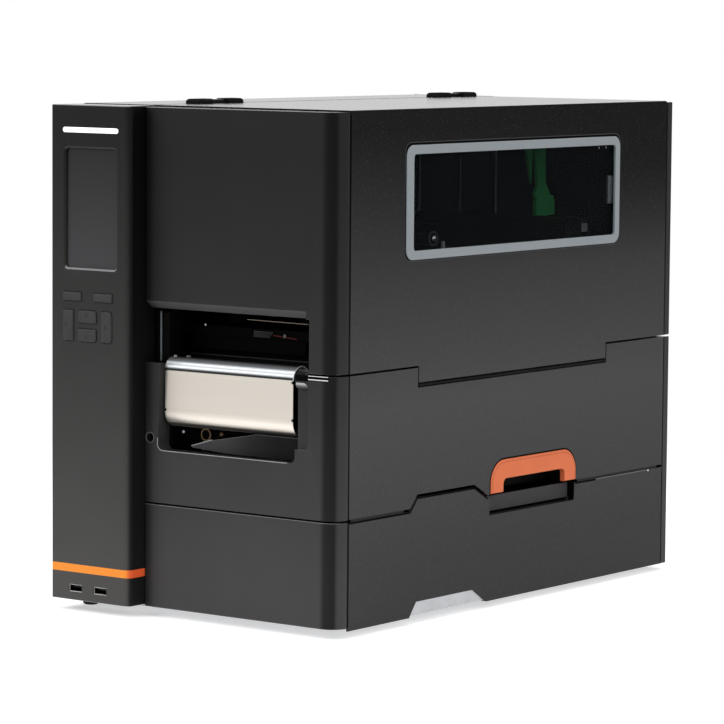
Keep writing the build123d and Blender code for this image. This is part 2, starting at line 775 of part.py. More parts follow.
# Base side panel: sheet metal with a raised tab, a notch below it and a pressed finger recess
tab_shares = (0.233, 0.252, 0.412, 0.449)
tab_start, tab_top_start, tab_top_end, tab_end = [front + share * depth for share in tab_shares]
tab_rise = 10.7
panel_gap = 1.1
notch_rise = 12.1
notch_rim = 6.0
recess_margin = 1.3
grip_shares = (0.457, 0.708)
grip_span = tuple(front + share * depth for share in grip_shares)
recess_span = (grip_span[0] - recess_margin, grip_span[1] - recess_margin)
recess_floor = 76.6
recess_deep = 7.0
recess_slot = 2.0
pocket_wall = 2.0
ledge_low = 12.0
ledge_rise = 3.4
ledge_thick = 1.6
ledge_margin = 6.0
notch_points = [
    (tab_end, panel_floor),
    (tab_top_end, panel_floor + notch_rise),
    (tab_top_start, panel_floor + notch_rise),
    (tab_start, panel_floor),
]
base_corners = [(metal_back, panel_floor)] + notch_points + [(metal_front, panel_floor)]
base_panel_points = seam_line(-panel_gap) + base_corners
with BuildPart() as base_side_panel:
    side_plate(base_panel_points, (right - sheet, right))
    block((right - sheet - overrun, right + overrun), recess_span, (recess_floor, seam_low + overrun),
          Mode.SUBTRACT)
    rim_points = [
        (tab_end, panel_floor),
        (tab_top_end, panel_floor + notch_rise),
        (tab_top_start, panel_floor + notch_rise),
        (tab_start, panel_floor),
        (tab_start - sheet, panel_floor),
        (tab_top_start - sheet, panel_floor + notch_rise + sheet),
        (tab_top_end + sheet, panel_floor + notch_rise + sheet),
        (tab_end + sheet, panel_floor),
    ]
    side_plate(rim_points, (right - sheet - notch_rim, right - sheet))
    block((right - sheet - notch_rim - overrun, right - sheet), grown((tab_start, tab_end), overrun),
          (foot_height - play, pan_top + tray_flange + play), Mode.SUBTRACT)
    for ledge_y in ((metal_front + ledge_margin, tab_start - ledge_margin),
                    (recess_span[1] + ledge_margin + pocket_wall, metal_back - ledge_margin)):
        block((right - sheet - ledge_thick, right - sheet), ledge_y,
              (seam_low - ledge_low, seam_low - ledge_rise))
        block((right - sheet - ledge_thick, right - sheet - 2 * play), ledge_y,
              (seam_low - ledge_rise, seam_low + ledge_rise))
    block((right - recess_deep - pocket_wall, right - sheet), grown(recess_span, pocket_wall),
          (recess_floor - pocket_wall, seam_low - panel_gap))
    block((right - recess_deep, right + overrun), recess_span, (recess_floor, seam_low + overrun),
          Mode.SUBTRACT)
    block((right - recess_deep - pocket_wall - overrun, right - recess_deep + overrun), recess_span,
          (recess_floor, recess_floor + recess_slot), Mode.SUBTRACT)
    block((right - recess_deep, right - sheet), (recess_span[1] - overrun, recess_span[1] + pocket_wall + overrun),
          (recess_floor, seam_low - ledge_low), Mode.SUBTRACT)
base_side_panel.part.label = "base_side_panel"
export_step(base_side_panel.part, "parts/base_side_panel.step")

# Lid shell: sheet metal top and upper side with the window cut in it, and its hinge leaves
window_shares = (0.215, 0.833)
window_drop_low = 120.0
window_drop_high = 28.5
window_y = tuple(front + share * depth for share in window_shares)
window_z = (height - window_drop_low, height - window_drop_high)
window_corner = 9.0
window_gap = 1.0
lid_seam = 2.0
lid_left = hinge_x + lid_seam
hinge_notch = hinge_block_x[1] + seam
upper_side_points = [
    (metal_front, seam_mid + half_seam),
    (fold_front + half_seam, seam_mid + half_seam),
    (fold_front + half_seam, fold_z + fold_gap_above),
    (fold_back - half_seam, fold_z + fold_gap_above),
    (fold_back - half_seam, seam_mid + half_seam),
    (metal_back, seam_mid + half_seam),
    (metal_back, height),
    (metal_front, height),
]
lid_bend = 2.5
fold_leaf = 12.0
fold_leaf_thick = 1.3
knuckle_count = 8
leaf_reach = 24.0
leaf_thick = 1.6
barrel_radius = 1.4
fold_pin_radius = 0.7
fold_span = (fold_front + half_seam, fold_back - half_seam)
knuckle_pitch = (fold_span[1] - fold_span[0]) / knuckle_count


def fold_knuckles(first, way):
    """Every second knuckle of the fold hinge, with the leaf that joins it to its panel."""
    leaf_gap = fold_gap_above if way > 0 else fold_gap_below
    leaf_z = sorted((fold_z + way * leaf_gap, fold_z + way * fold_leaf))
    block((fold_x - fold_leaf_thick, fold_x), fold_span, tuple(leaf_z))
    for index in range(first, knuckle_count, 2):
        start = fold_span[0] + index * knuckle_pitch
        knuckle_y = (start + play / 2, start + knuckle_pitch - play / 2)
        rod_y(knuckle_y, fold_x, fold_z, barrel_radius)
        block((fold_x - fold_leaf_thick, fold_x), knuckle_y, tuple(sorted((fold_z, fold_z + way * leaf_gap))))


with BuildPart() as lid_shell:
    side_plate(upper_side_points, (right - sheet, right))
    block((lid_left, right), (metal_front, metal_back), (height - sheet, height))
    fillet(lid_shell.edges().filter_by(Axis.Y).group_by(Axis.Z)[-1].sort_by(Axis.X)[-1], lid_bend)
    side_pad(grown(window_y, window_gap), grown(window_z, window_gap), window_corner + window_gap,
             (right - sheet - overrun, right + overrun), Mode.SUBTRACT)
    for site in hinge_sites:
        block((lid_left - overrun, hinge_notch), about(site, hinge_block_long + 2 * seam),
              (height - overrun, height + overrun), Mode.SUBTRACT)
    fold_knuckles(0, 1)
    rod_y(fold_span, fold_x, fold_z, fold_pin_radius)
    for site in hinge_sites:
        rod_y(about(site, knuckle_long), hinge_x, hinge_z, knuckle_radius)
        block((hinge_x, hinge_x + leaf_reach), about(site, knuckle_long),
              (height - sheet - leaf_thick, height - sheet))
        rod_y(about(site, knuckle_long + overrun), hinge_x, hinge_z, hinge_pin_radius + fit, Mode.SUBTRACT)
lid_shell.part.label = "lid_shell"
export_step(lid_shell.part, "parts/lid_shell.step")

# Lid front: the moulded upper front with the label exit cut in its lower edge
mouth_right_inset = 27.9
mouth_rise = 42.7
mouth_right = right - mouth_right_inset
mouth_top = seam_mid + mouth_rise
mouth_bevel_high = 6.2
mouth_bevel_deep = 8.0
mouth_wall = 4.0
mouth_miter = 3.0
lid_front_floor = seam_mid + half_seam
lid_front_drop = 1.2
lid_front_top = height - lid_front_drop
lid_front = front_shell(
    (lid_front_floor, lid_front_top),
    [((mouth_right + plastic, right - plastic), (lid_front_floor - overrun, lid_front_top - plastic)),
     ((front_left + plastic, mouth_right + plastic + seam),
      (mouth_top + mouth_bevel_high + mouth_wall, lid_front_top - plastic))])
with BuildPart() as lid_front_cut:
    add(lid_front.part)
    block((front_left - overrun, mouth_right), (front_face - overrun, column_back + overrun),
          (lid_front_floor - overrun, mouth_top), Mode.SUBTRACT)
    side_plate([(front_face, mouth_top), (front_face, mouth_top + mouth_bevel_high),
                (front_face + mouth_bevel_deep, mouth_top)],
               (front_left - overrun, mouth_right - mouth_miter), Mode.SUBTRACT)
lid_front_cut.part.label = "lid_front"
export_step(lid_front_cut.part, "parts/lid_front.step")

# Lid rear wall
with BuildPart() as lid_rear:
    block((rear_wall_left, right), (strip_front, rear), (seam_mid + half_seam, lid_front_top))
    block((rear_wall_left + plastic, right - plastic), (strip_front - overrun, rear - plastic),
          (seam_mid + half_seam - overrun, lid_front_top - plastic), Mode.SUBTRACT)
lid_rear.part.label = "lid_rear"
export_step(lid_rear.part, "parts/lid_rear.step")

# Window frame with its pane clips, and the pane
frame_flange = 6.0
frame_flange_thick = 2.0
frame_proud = 0.8
frame_border = 7.5
frame_border_front = 10.0
glass_y = (window_y[0] + frame_border_front, window_y[1] - frame_border)
glass_z = (window_z[0] + frame_border, window_z[1] - frame_border)
glass_corner = 3.0
glass_thick = 2.0
glass_lip = 4.0
clip_thick = 2.0
clip_long = 24.0
clip_reach = 9.0
clip_z = about((window_z[0] + window_z[1]) / 2, clip_long)
glass_back = right - sheet - frame_flange_thick
glass_front = glass_back + glass_thick
with BuildPart() as window_frame:
    side_pad(window_y, window_z, window_corner, (glass_back, right + frame_proud))
    chamfer(window_frame.edges().group_by(Axis.X)[-1], frame_proud)
    side_pad(grown(window_y, frame_flange), grown(window_z, frame_flange), window_corner + frame_flange,
             (glass_back, right - sheet))
    side_pad(glass_y, glass_z, glass_corner, (glass_back - overrun, right + overrun), Mode.SUBTRACT)
    side_pad(grown(glass_y, glass_lip + fit), grown(glass_z, glass_lip + fit), glass_corner + glass_lip,
             (glass_back - overrun, glass_front), Mode.SUBTRACT)
    for edge_y, way in ((glass_y[0] - glass_lip, -1), (glass_y[1] + glass_lip, 1)):
        clip_y = tuple(sorted((edge_y - way * clip_reach, edge_y + way * frame_flange)))
        block((glass_back - clip_thick, glass_back), clip_y, clip_z)
window_frame.part.label = "window_frame"
export_step(window_frame.part, "parts/window_frame.step")

with BuildPart() as window_pane:
    side_pad(grown(glass_y, glass_lip), grown(glass_z, glass_lip), glass_corner + glass_lip,
             (glass_back, glass_front))
window_pane.part.label = "window_pane"
export_step(window_pane.part, "parts/window_pane.step")

# Fold panel: the lower half of the door, which folds out on its own long hinge
grip_lift = 0.6
grip_floor = seam_low + panel_gap + grip_lift
grip_tall = 27.0
grip_round = 19.0
grip_gap = 1.0
grip_flange = 5.0
grip_flange_thick = 2.2
hold_margin = 17.5
hold_tall = 11.2
hold_corner = 4.5
lower_edge = seam_line(panel_gap)
fold_panel_points = lower_edge + [
    (metal_back, seam_mid - half_seam),
    (fold_back + half_seam, seam_mid - half_seam),
    (fold_back + half_seam, fold_z - fold_gap_below),
    (fold_front - half_seam, fold_z - fold_gap_below),
    (fold_front - half_seam, seam_mid - half_seam),
    (metal_front, seam_mid - half_seam),
]


def grip_arch(grow, x_span, mode=Mode.ADD):
    """The grip's outline, square below and round at its upper corners, grown all round but below."""
    y_span = grown(grip_span, grow)
    tall = grip_tall + grow
    with BuildSketch(Plane.YZ.offset(x_span[0])) as arch:
        with Locations((sum(y_span) / 2, grip_floor + tall / 2)):
            Rectangle(y_span[1] - y_span[0], tall)
        fillet(arch.vertices().group_by(Axis.Y)[-1], grip_round + grow)
    extrude(arch.sketch, amount=x_span[1] - x_span[0], mode=mode)


with BuildPart() as fold_panel:
    side_plate(fold_panel_points, (right - sheet, right))
    grip_arch(grip_gap, (right - sheet - overrun, right + overrun), Mode.SUBTRACT)
    block((right - sheet - overrun, right + overrun), grown(grip_span, grip_gap),
          (seam_low, grip_floor + seam), Mode.SUBTRACT)
    fold_knuckles(1, -1)
    rod_y(grown(fold_span, overrun), fold_x, fold_z, fold_pin_radius + fit, Mode.SUBTRACT)
fold_panel.part.label = "fold_panel"
export_step(fold_panel.part, "parts/fold_panel.step")

# Grip: the coloured hand hold in the fold panel's lower edge
hold_y = grown(grip_span, -hold_margin)
grip_edge = 0.8
grip_lip_deep = 8.0
grip_lip_thick = 3.0
with BuildPart() as grip:
    grip_arch(0, (right - sheet - grip_flange_thick, right + frame_proud))
    chamfer(grip.edges().group_by(Axis.X)[-1], grip_edge)
    grip_arch(grip_flange, (right - sheet - grip_flange_thick, right - sheet))
    side_pad(hold_y, (grip_floor - hold_tall, grip_floor + hold_tall), hold_corner,
             (right - sheet - grip_flange_thick - overrun, right + overrun), Mode.SUBTRACT)
    block((right - sheet - grip_flange_thick - grip_lip_deep, right - sheet - grip_flange_thick),
          hold_y, (grip_floor + hold_tall, grip_floor + hold_tall + grip_lip_thick))
grip.part.label = "grip"
export_step(grip.part, "parts/grip.step")

# Grip back: the dark box behind the hand hold that keeps fingers out of the works
back_deep = 18.0
back_wall = 2.0
back_x = (right - sheet - grip_flange_thick - back_deep, right - sheet - grip_flange_thick)
back_y = grown(hold_y, back_wall + seam)
back_z = (grip_floor, grip_floor + grip_tall + grip_flange - back_wall)
with BuildPart() as grip_back:
    block(back_x, back_y, back_z)
    block((back_x[0] + back_wall, back_x[1] + overrun), grown(back_y, -back_wall),
          (back_z[0] - overrun, back_z[1] - back_wall), Mode.SUBTRACT)
grip_back.part.label = "grip_back"
export_step(grip_back.part, "parts/grip_back.step")

# Guide plate sizes: the bright plate at the exit that leads labels back down to the rewinder
guide_left_margin = 0.4
guide_right_margin = 5.4
guide_setback = 4.7
guide_radius = 10.5
guide_drop = 1.0
guide_foot_gap = 16.2
guide_curl = 8.0
guide_thick = 1.5
guide_leg = 28.5
guide_x = (exit_left + guide_left_margin, exit_right - guide_right_margin)
guide_front = front_face + guide_setback
guide_top = platen_top - guide_drop
guide_back = guide_front + 2 * guide_radius
guide_low = exit_floor + guide_foot_gap + guide_curl
arch_centre = (guide_front + guide_radius, guide_top - guide_radius)

# Tear bar sizes
tear_thick = 3.0
tear_gap = 2.0
tear_tall = 14.0
tear_tooth = 2.0
tear_back = platen_y - platen_radius - tear_gap
tear_low = platen_top - tear_tall

# Print frame: the bed for the labels, the outer bearing plate and the front member with its cheek
frame_plate_back = pivot_y + bush_radius
frame_plate_low = platen_z - 2 * bush_radius - boss_radius - mount_leg_reach
plate_margin = 13.0
frame_plate_high = lever_z + plate_margin
bed_rise = 5.0
bed_thick = 4.0
bed_gap = 5.0
bed_top = platen_z + bed_rise
bed_front = platen_y + platen_radius + bed_gap
mouth_notch = 22.0
bracket_thick = 3.0
cheek_rise = 35.0
cheek_setback = 11.0
bracket_z = (guide_top - guide_radius - guide_leg - plate_margin, guide_top - guide_radius - seam)
cheek_back = guide_back + bracket_thick
frame_plate_front = guide_back
plate_points = [
    (frame_plate_front, frame_plate_low),
    (frame_plate_back - mouth_notch, frame_plate_low),
    (frame_plate_back, frame_plate_low + mouth_notch),
    (frame_plate_back, frame_plate_high - mouth_notch),
    (frame_plate_back - mouth_notch, frame_plate_high),
    (lever_y - mouth_notch, frame_plate_high),
    (frame_plate_front, platen_z + mouth_notch),
]
with BuildPart() as print_frame:
    side_plate(plate_points, frame_plate_span)
    block((wall_right, frame_plate_x), (bed_front, frame_plate_back), (bed_top - bed_thick, bed_top))
    block((wall_right, frame_plate_x), (guide_back, cheek_back), bracket_z)
    block((wall_right, exit_left - play), (column_back + play, cheek_back),
          (exit_screw_z - screw_margin, seam_mid))
    rod_y((column_back - overrun, cheek_back + overrun), exit_screw_x, exit_screw_z, screw_shank + fit,
          Mode.SUBTRACT)
    block((wall_right, exit_left - play), (front_face + cheek_setback, cheek_back),
          (seam_mid, guide_top + cheek_rise))
    block((wall_right, exit_left - play), (tear_back - tear_thick, cheek_back + overrun),
          (tear_low, guide_top + overrun), Mode.SUBTRACT)
    rod_x(grown(frame_plate_span, overrun), platen_y, platen_z, bush_radius, Mode.SUBTRACT)
    rod_x(grown(frame_plate_span, overrun), lever_y, lever_z, shaft_radius + fit, Mode.SUBTRACT)
print_frame.part.label = "print_frame"
export_step(print_frame.part, "parts/print_frame.step")

# Platen: a rubber roller on a steel shaft, with the shaft's belt pulley at its inner end
platen_x = (wall_right + bush_radius, frame_plate_x - bush_radius)
platen_end = 2.0
pulley_gap = 3.0
pulley_wide = 9.0
pulley_x = (wall_left - pulley_gap - pulley_wide, wall_left - pulley_gap)
pulley_radius = 14.0
belt_thick = 1.5
pulley_rim = 1.0
pulley_rim_rise = belt_thick + play


def pulley(y, z, radius):
    """Adds a belt pulley with a rim at each end."""
    rod_x(pulley_x, y, z, radius)
    rod_x((pulley_x[0], pulley_x[0] + pulley_rim), y, z, radius + pulley_rim_rise)
    rod_x((pulley_x[1] - pulley_rim, pulley_x[1]), y, z, radius + pulley_rim_rise)


with BuildPart() as platen_shaft:
    rod_x((pulley_x[0] - platen_end, frame_plate_span[1] + platen_end), platen_y, platen_z, shaft_radius)
    pulley(platen_y, platen_z, pulley_radius)
platen_shaft.part.label = "platen_shaft"
export_step(platen_shaft.part, "parts/platen_shaft.step")

with BuildPart() as platen_roller:
    rod_x(platen_x, platen_y, platen_z, platen_radius)
    rod_x(grown(platen_x, overrun), platen_y, platen_z, shaft_radius, Mode.SUBTRACT)
platen_roller.part.label = "platen_roller"
export_step(platen_roller.part, "parts/platen_roller.step")

# Motor pulley pressed on the stepper's shaft
motor_shaft_radius = 2.5
motor_long = 48.0
motor_shaft_seat = 5.0
with BuildPart() as motor_pulley:
    rod_x((mount_x - motor_shaft_seat + fit, pulley_x[1]), motor_y, motor_z, motor_shaft_radius)
    pulley(motor_y, motor_z, motor_pulley_radius)
motor_pulley.part.label = "motor_pulley"
export_step(motor_pulley.part, "parts/motor_pulley.step")

# Toothed belt from the motor to the platen
belt_inset = 2.1
belt_x = grown(pulley_x, -belt_inset)
with BuildPart() as drive_belt:
    with BuildSketch(Plane.YZ.offset(belt_x[0])):
        with Locations((platen_y, platen_z)):
            Circle(pulley_radius + play + belt_thick)
        with Locations((motor_y, motor_z)):
            Circle(motor_pulley_radius + play + belt_thick)
        make_hull()
    extrude(amount=belt_x[1] - belt_x[0])
    with BuildSketch(Plane.YZ.offset(belt_x[0] - overrun)):
        with Locations((platen_y, platen_z)):
            Circle(pulley_radius + play)
        with Locations((motor_y, motor_z)):
            Circle(motor_pulley_radius + play)
        make_hull()
    extrude(amount=belt_x[1] - belt_x[0] + 2 * overrun, mode=Mode.SUBTRACT)
drive_belt.part.label = "drive_belt"
export_step(drive_belt.part, "parts/drive_belt.step")

# Head bracket: the cast arm that swings on the rod and carries the printhead
head_inset = 10.0
head_x = (wall_right + head_inset, frame_plate_x - head_inset)
printhead_tall = 16.0
head_thick = 8.0
head_overhang = 10.0
head_low = platen_top + printhead_tall
head_front = platen_y - head_overhang
knob_radius = 9.0
knob_tall = 14.0
knob_post = 3.0
knob_grip_count = 12
knob_setback = 35.0
knob_y = head_front + knob_setback
knob_places = {
    "pressure_knob_inner": head_x[0] + 3 * knob_radius,
    "pressure_knob_outer": head_x[1] - 3 * knob_radius,
}
knob_low = head_low + head_thick
post_rise = 5.0
hub_radius = 8.0
with BuildPart() as head_bracket:
    block(head_x, (head_front, pivot_y), (head_low, head_low + head_thick))
    rod_x(head_x, pivot_y, pivot_z, hub_radius)
    rod_x(grown(head_x, overrun), pivot_y, pivot_z, shaft_radius + fit, Mode.SUBTRACT)
    for knob_x in knob_places.values():
        rod_z((knob_low, knob_low + post_rise), knob_x, knob_y, knob_post)
head_bracket.part.label = "head_bracket"
export_step(head_bracket.part, "parts/head_bracket.step")

# Printhead: the heater line over the platen with its heat sink above
head_margin = 6.0
head_block_deep = 30.0
heater_high = 4.0
heater_narrow = 5.0
head_block_y = (head_front + seam, head_front + seam + head_block_deep)
with BuildPart() as printhead:
    block(grown(head_x, -head_margin), head_block_y,
          (platen_top + 2 * play + heater_high, head_low))
    block(grown(head_x, -head_margin), grown(head_block_y, -heater_narrow),
          (platen_top + 2 * play, platen_top + 2 * play + heater_high))
printhead.part.label = "printhead"
export_step(printhead.part, "parts/printhead.step")

# Pressure knobs: two round knobs on the bracket that set the head's force
for name, knob_x in knob_places.items():
    with BuildPart() as knob:
        rod_z((knob_low + play, knob_low + play + knob_tall), knob_x, knob_y, knob_radius)
        with BuildSketch(Plane.XY.offset(knob_low + play)):
            with Locations((knob_x, knob_y)):
                with PolarLocations(knob_radius + sheet / 2, knob_grip_count):
                    Circle(sheet)
        extrude(amount=knob_tall, mode=Mode.SUBTRACT)
        rod_z((knob_low - overrun, knob_low + play + post_rise), knob_x, knob_y, knob_post + fit,
              Mode.SUBTRACT)
    knob.part.label = name
    export_step(knob.part, f"parts/{name}.step")

# Head opening lever on the end of its cam shaft, outside the outer plate
lever_gap = 3.0
lever_x = frame_plate_span[1] + lever_gap
lever_thick = 8.0
lever_long = 48.0
lever_hub = 11.0
lever_tip = 9.0
cam_long = 14.0
cam_radius = 7.0
with BuildPart() as head_lever:
    with BuildSketch(Plane.YZ.offset(lever_x)):
        with Locations((lever_y, lever_z)):
            Circle(lever_hub)
        with Locations((lever_y - lever_long, lever_z)):
            Circle(lever_tip)
        make_hull()
    extrude(amount=lever_thick)
    chamfer(head_lever.edges().group_by(Axis.X)[-1], seam)
    rod_x((wall_left, lever_x), lever_y, lever_z, shaft_radius)
    for knob_x in knob_places.values():
        rod_x(about(knob_x, cam_long), lever_y, lever_z, cam_radius)
head_lever.part.label = "head_lever"
export_step(head_lever.part, "parts/head_lever.step")

# Tear bar just in front of the platen
with BuildPart() as tear_bar:
    block((wall_right, frame_plate_x), (tear_back - tear_thick, tear_back), (tear_low, platen_top))
    chamfer(tear_bar.edges().filter_by(Axis.X).group_by(Axis.Z)[-1].sort_by(Axis.Y)[0], tear_tooth)
tear_bar.part.label = "tear_bar"
export_step(tear_bar.part, "parts/tear_bar.step")

# Guide plate
with BuildPart() as guide_plate:
    with BuildSketch(Plane.YZ.offset(guide_x[0])):
        with BuildLine() as guide_path:
            Line((guide_back - guide_thick / 2, arch_centre[1] - guide_leg),
                 (guide_back - guide_thick / 2, arch_centre[1]))
            CenterArc(arch_centre, guide_radius - guide_thick / 2, 0, 180)
            Line((guide_front + guide_thick / 2, arch_centre[1]), (guide_front + guide_thick / 2, guide_low))
            CenterArc((guide_front + guide_curl, guide_low), guide_curl - guide_thick / 2, 180, 90)
            Line((guide_front + guide_curl, guide_low - guide_curl + guide_thick / 2),
                 (guide_back, guide_low - guide_curl + guide_thick / 2))
        trace(line_width=guide_thick)
    extrude(amount=guide_x[1] - guide_x[0])
guide_plate.part.label = "guide_plate"
export_step(guide_plate.part, "parts/guide_plate.step")

# Ribbon spindles
core_radius = 10.4
core_fin = 2.6
core_fin_reach = 12.2
core_inset = 51.9
core_flange_radius = 20.0
core_flange_thick = 3.0
core_knob_long = 10.0
core_knob_radius = 15.0
core_x = (wall_right + boss_rise + 2 * play, right - core_inset)
gear_motor_socket = 14.0
spindle_shaft_left = wall_left - gear_motor_socket


def ribbon_spindle(y, z):
    """A ribbon spindle: shaft, back flange, finned core for the ribbon's tube and end knob."""
    with BuildPart() as spindle:
        rod_x((spindle_shaft_left, core_x[0]), y, z, shaft_radius)
        rod_x(core_x, y, z, core_radius)
        rod_x((core_x[0], core_x[0] + core_flange_thick), y, z, core_flange_radius)
        rod_x((core_x[1], core_x[1] + core_knob_long), y, z, core_knob_radius)
        with BuildSketch(Plane.YZ.offset(core_x[0])):
            with Locations((y, z)):
                with PolarLocations((core_radius + core_fin_reach) / 2 - seam, 3):
                    Rectangle(core_fin_reach - core_radius + 2 * seam, core_fin)
        extrude(amount=core_x[1] - core_x[0])
        chamfer(spindle.edges().group_by(Axis.X)[-1], seam)
    return spindle


ribbon_supply_spindle = ribbon_spindle(supply_y, supply_z)
ribbon_supply_spindle.part.label = "ribbon_supply_spindle"
export_step(ribbon_supply_spindle.part, "parts/ribbon_supply_spindle.step")

ribbon_takeup_spindle = ribbon_spindle(takeup_y, takeup_z)
ribbon_takeup_spindle.part.label = "ribbon_takeup_spindle"
export_step(ribbon_takeup_spindle.part, "parts/ribbon_takeup_spindle.step")

# Rewind spindle: a slotted drum and its back disc, for the labels led back inside
drum_radius = 35.0
drum_x = core_x
disc_gap = 14.0
disc_radius = bed_top - bed_thick - disc_gap - rewind_z
disc_thick = 3.0
slot_wide = 6.0
slot_deep = 12.0
rewind_knob_radius = 20.0
rewind_knob_long = 9.0
with BuildPart() as rewind_spindle:
    rod_x((spindle_shaft_left, drum_x[0]), rewind_y, rewind_z, shaft_radius)
    rod_x(drum_x, rewind_y, rewind_z, drum_radius)
    rod_x((drum_x[0], drum_x[0] + disc_thick), rewind_y, rewind_z, disc_radius)
    block((drum_x[0] + disc_thick, drum_x[1] + overrun), about(rewind_y, slot_wide),
          (rewind_z + drum_radius - slot_deep, rewind_z + drum_radius + overrun), Mode.SUBTRACT)
    rod_x((drum_x[1], drum_x[1] + rewind_knob_long), rewind_y, rewind_z, rewind_knob_radius)
    chamfer(rewind_spindle.edges().group_by(Axis.X)[-1], seam)
rewind_spindle.part.label = "rewind_spindle"
export_step(rewind_spindle.part, "parts/rewind_spindle.step")

# Bushes of the platen and the three spindles, pressed in the centre wall and the outer plate
bush_places = [((wall_left, wall_right), platen_y, platen_z), (frame_plate_span, platen_y, platen_z)]
bush_places += [((wall_left, wall_right + boss_rise), y, z) for y, z in spindle_axes]
with BuildPart() as shaft_bushes:
    for bush_x, bush_y, bush_z in bush_places:
        rod_x(bush_x, bush_y, bush_z, bush_radius)
        rod_x(grown(bush_x, overrun), bush_y, bush_z, shaft_radius + fit, Mode.SUBTRACT)
shaft_bushes.part.label = "shaft_bushes"
export_step(shaft_bushes.part, "parts/shaft_bushes.step")

# Motors: the platen's stepper on its bracket, and a gear motor behind each spindle
gear_motor_long = 48.0
gear_motor_radius = 18.0
with BuildPart() as motors:
    side_pad(about(motor_y, motor_size), about(motor_z, motor_size), motor_corner,
             (mount_x - motor_long, mount_x))
    rod_x((mount_x - motor_shaft_seat, mount_x + mount_thick), motor_y, motor_z, motor_shaft_radius + fit,
          Mode.SUBTRACT)
    for axis_y, axis_z in spindle_axes:
        rod_x((wall_left - gear_motor_long, wall_left), axis_y, axis_z, gear_motor_radius)
        rod_x((spindle_shaft_left - play, wall_left + overrun), axis_y, axis_z, shaft_radius + fit,
              Mode.SUBTRACT)
motors.part.label = "motors"
export_step(motors.part, "parts/motors.step")

# Roll hanger: the arm that the label roll hangs on, with its root flange and rounded end
hanger_flange_radius = 22.0
hanger_flange_thick = 6.0
neck_radius = 10.0
saddle_radius = 21.5
neck_long = 38.0
saddle_inset = 33.1
saddle_left = wall_right + neck_long
saddle_right = right - saddle_inset
cap_long = 9.0
cap_round = 5.0
groove_wide = 6.0
groove_deep = 8.0
groove_margin = 4.0
with BuildPart() as roll_hanger:
    rod_x((saddle_right, saddle_right + cap_long), hanger_y, hanger_z, saddle_radius + fit)
    fillet(roll_hanger.edges().group_by(Axis.X)[-1], cap_round)
    rod_x((wall_right, wall_right + hanger_flange_thick), hanger_y, hanger_z, hanger_flange_radius)
    rod_x((wall_right + hanger_flange_thick, saddle_left), hanger_y, hanger_z, neck_radius)
    rod_x((saddle_left, saddle_right), hanger_y, hanger_z, saddle_radius)
    block((saddle_left + groove_margin, saddle_right - groove_margin), about(hanger_y, groove_wide),
          (hanger_z + saddle_radius - groove_deep, hanger_z + saddle_radius + overrun), Mode.SUBTRACT)
roll_hanger.part.label = "roll_hanger"
export_step(roll_hanger.part, "parts/roll_hanger.step")

# Roll guide: a blade that slides in the hanger's groove and keeps the roll in place
blade_thick = 4.0
blade_inset = 62.9
blade_x = right - blade_inset
blade_base = 28.0
blade_base_high = 12.0
blade_waist = 14.0
blade_waist_high = 27.0
blade_top_high = 60.0
blade_high = 72.0
blade_lean = 14.0
blade_foot = groove_wide - 2 * play
blade_low = hanger_z + saddle_radius + play
blade_slot_low = 36.0
blade_slot_high = 62.0
blade_points = [
    (hanger_y - blade_base / 2, blade_low),
    (hanger_y + blade_base / 2, blade_low),
    (hanger_y + blade_base / 2, blade_low + blade_base_high),
    (hanger_y + blade_waist / 2, blade_low + blade_waist_high),
    (hanger_y + blade_waist / 2, blade_low + blade_high),
    (hanger_y - blade_waist / 2 - blade_lean, blade_low + blade_high),
    (hanger_y - blade_waist / 2 - blade_lean, blade_low + blade_top_high),
    (hanger_y - blade_waist / 2, blade_low + blade_waist_high),
    (hanger_y - blade_base / 2, blade_low + blade_base_high),
]
slot_points = [
    (hanger_y - blade_waist / 2, blade_low + blade_slot_low),
    (hanger_y - blade_waist / 2, blade_low + blade_slot_high),
    (hanger_y - blade_waist / 2 - blade_lean / 3, blade_low + blade_slot_high),
    (hanger_y - blade_waist / 2 - blade_lean / 3, blade_low + blade_slot_low + blade_lean),
]
with BuildPart() as roll_guide:
    side_plate(blade_points, (blade_x, blade_x + blade_thick))
    side_plate(slot_points, (blade_x - overrun, blade_x + blade_thick + overrun), Mode.SUBTRACT)
    block((blade_x, blade_x + blade_thick), about(hanger_y, blade_foot),
          (hanger_z + saddle_radius - groove_deep + play, blade_low))
roll_guide.part.label = "roll_guide"
export_step(roll_guide.part, "parts/roll_guide.step")

# Rods: the head's pivot, the edge guide's rod, the dancer's post and the two ribbon rods
edge_rod_reach = 121.0
edge_rod_z = bed_top + 1.5 * shaft_radius
rod_inset = 40.0
rod_right = right - rod_inset
dancer_reach = 204.0
dancer_drop = 13.0
dancer_y = platen_y + dancer_reach
dancer_z = platen_z - dancer_drop
dancer_post_long = 14.0
ribbon_rod_radius = 3.0
ribbon_rod_inset = 48.0
ribbon_rod_right = right - ribbon_rod_inset
front_rod_setback = 2.0
front_rod_rise = 91.0
back_rod_reach = 122.0
back_rod_rise = 49.0
ribbon_rods = [(platen_y - front_rod_setback, platen_z + front_rod_rise),
               (platen_y + back_rod_reach, platen_z + back_rod_rise)]
edge_rod_y = platen_y + edge_rod_reach
with BuildPart() as guide_rods:
    rod_x((wall_right, frame_plate_x), pivot_y, pivot_z, shaft_radius)
    rod_x((wall_right, rod_right), edge_rod_y, edge_rod_z, shaft_radius)
    rod_x((wall_right, wall_right + dancer_post_long), dancer_y, dancer_z, shaft_radius)
    for rod_y_place, rod_z_place in ribbon_rods:
        rod_x((wall_right, ribbon_rod_right), rod_y_place, rod_z_place, ribbon_rod_radius)
guide_rods.part.label = "guide_rods"
export_step(guide_rods.part, "parts/guide_rods.step")

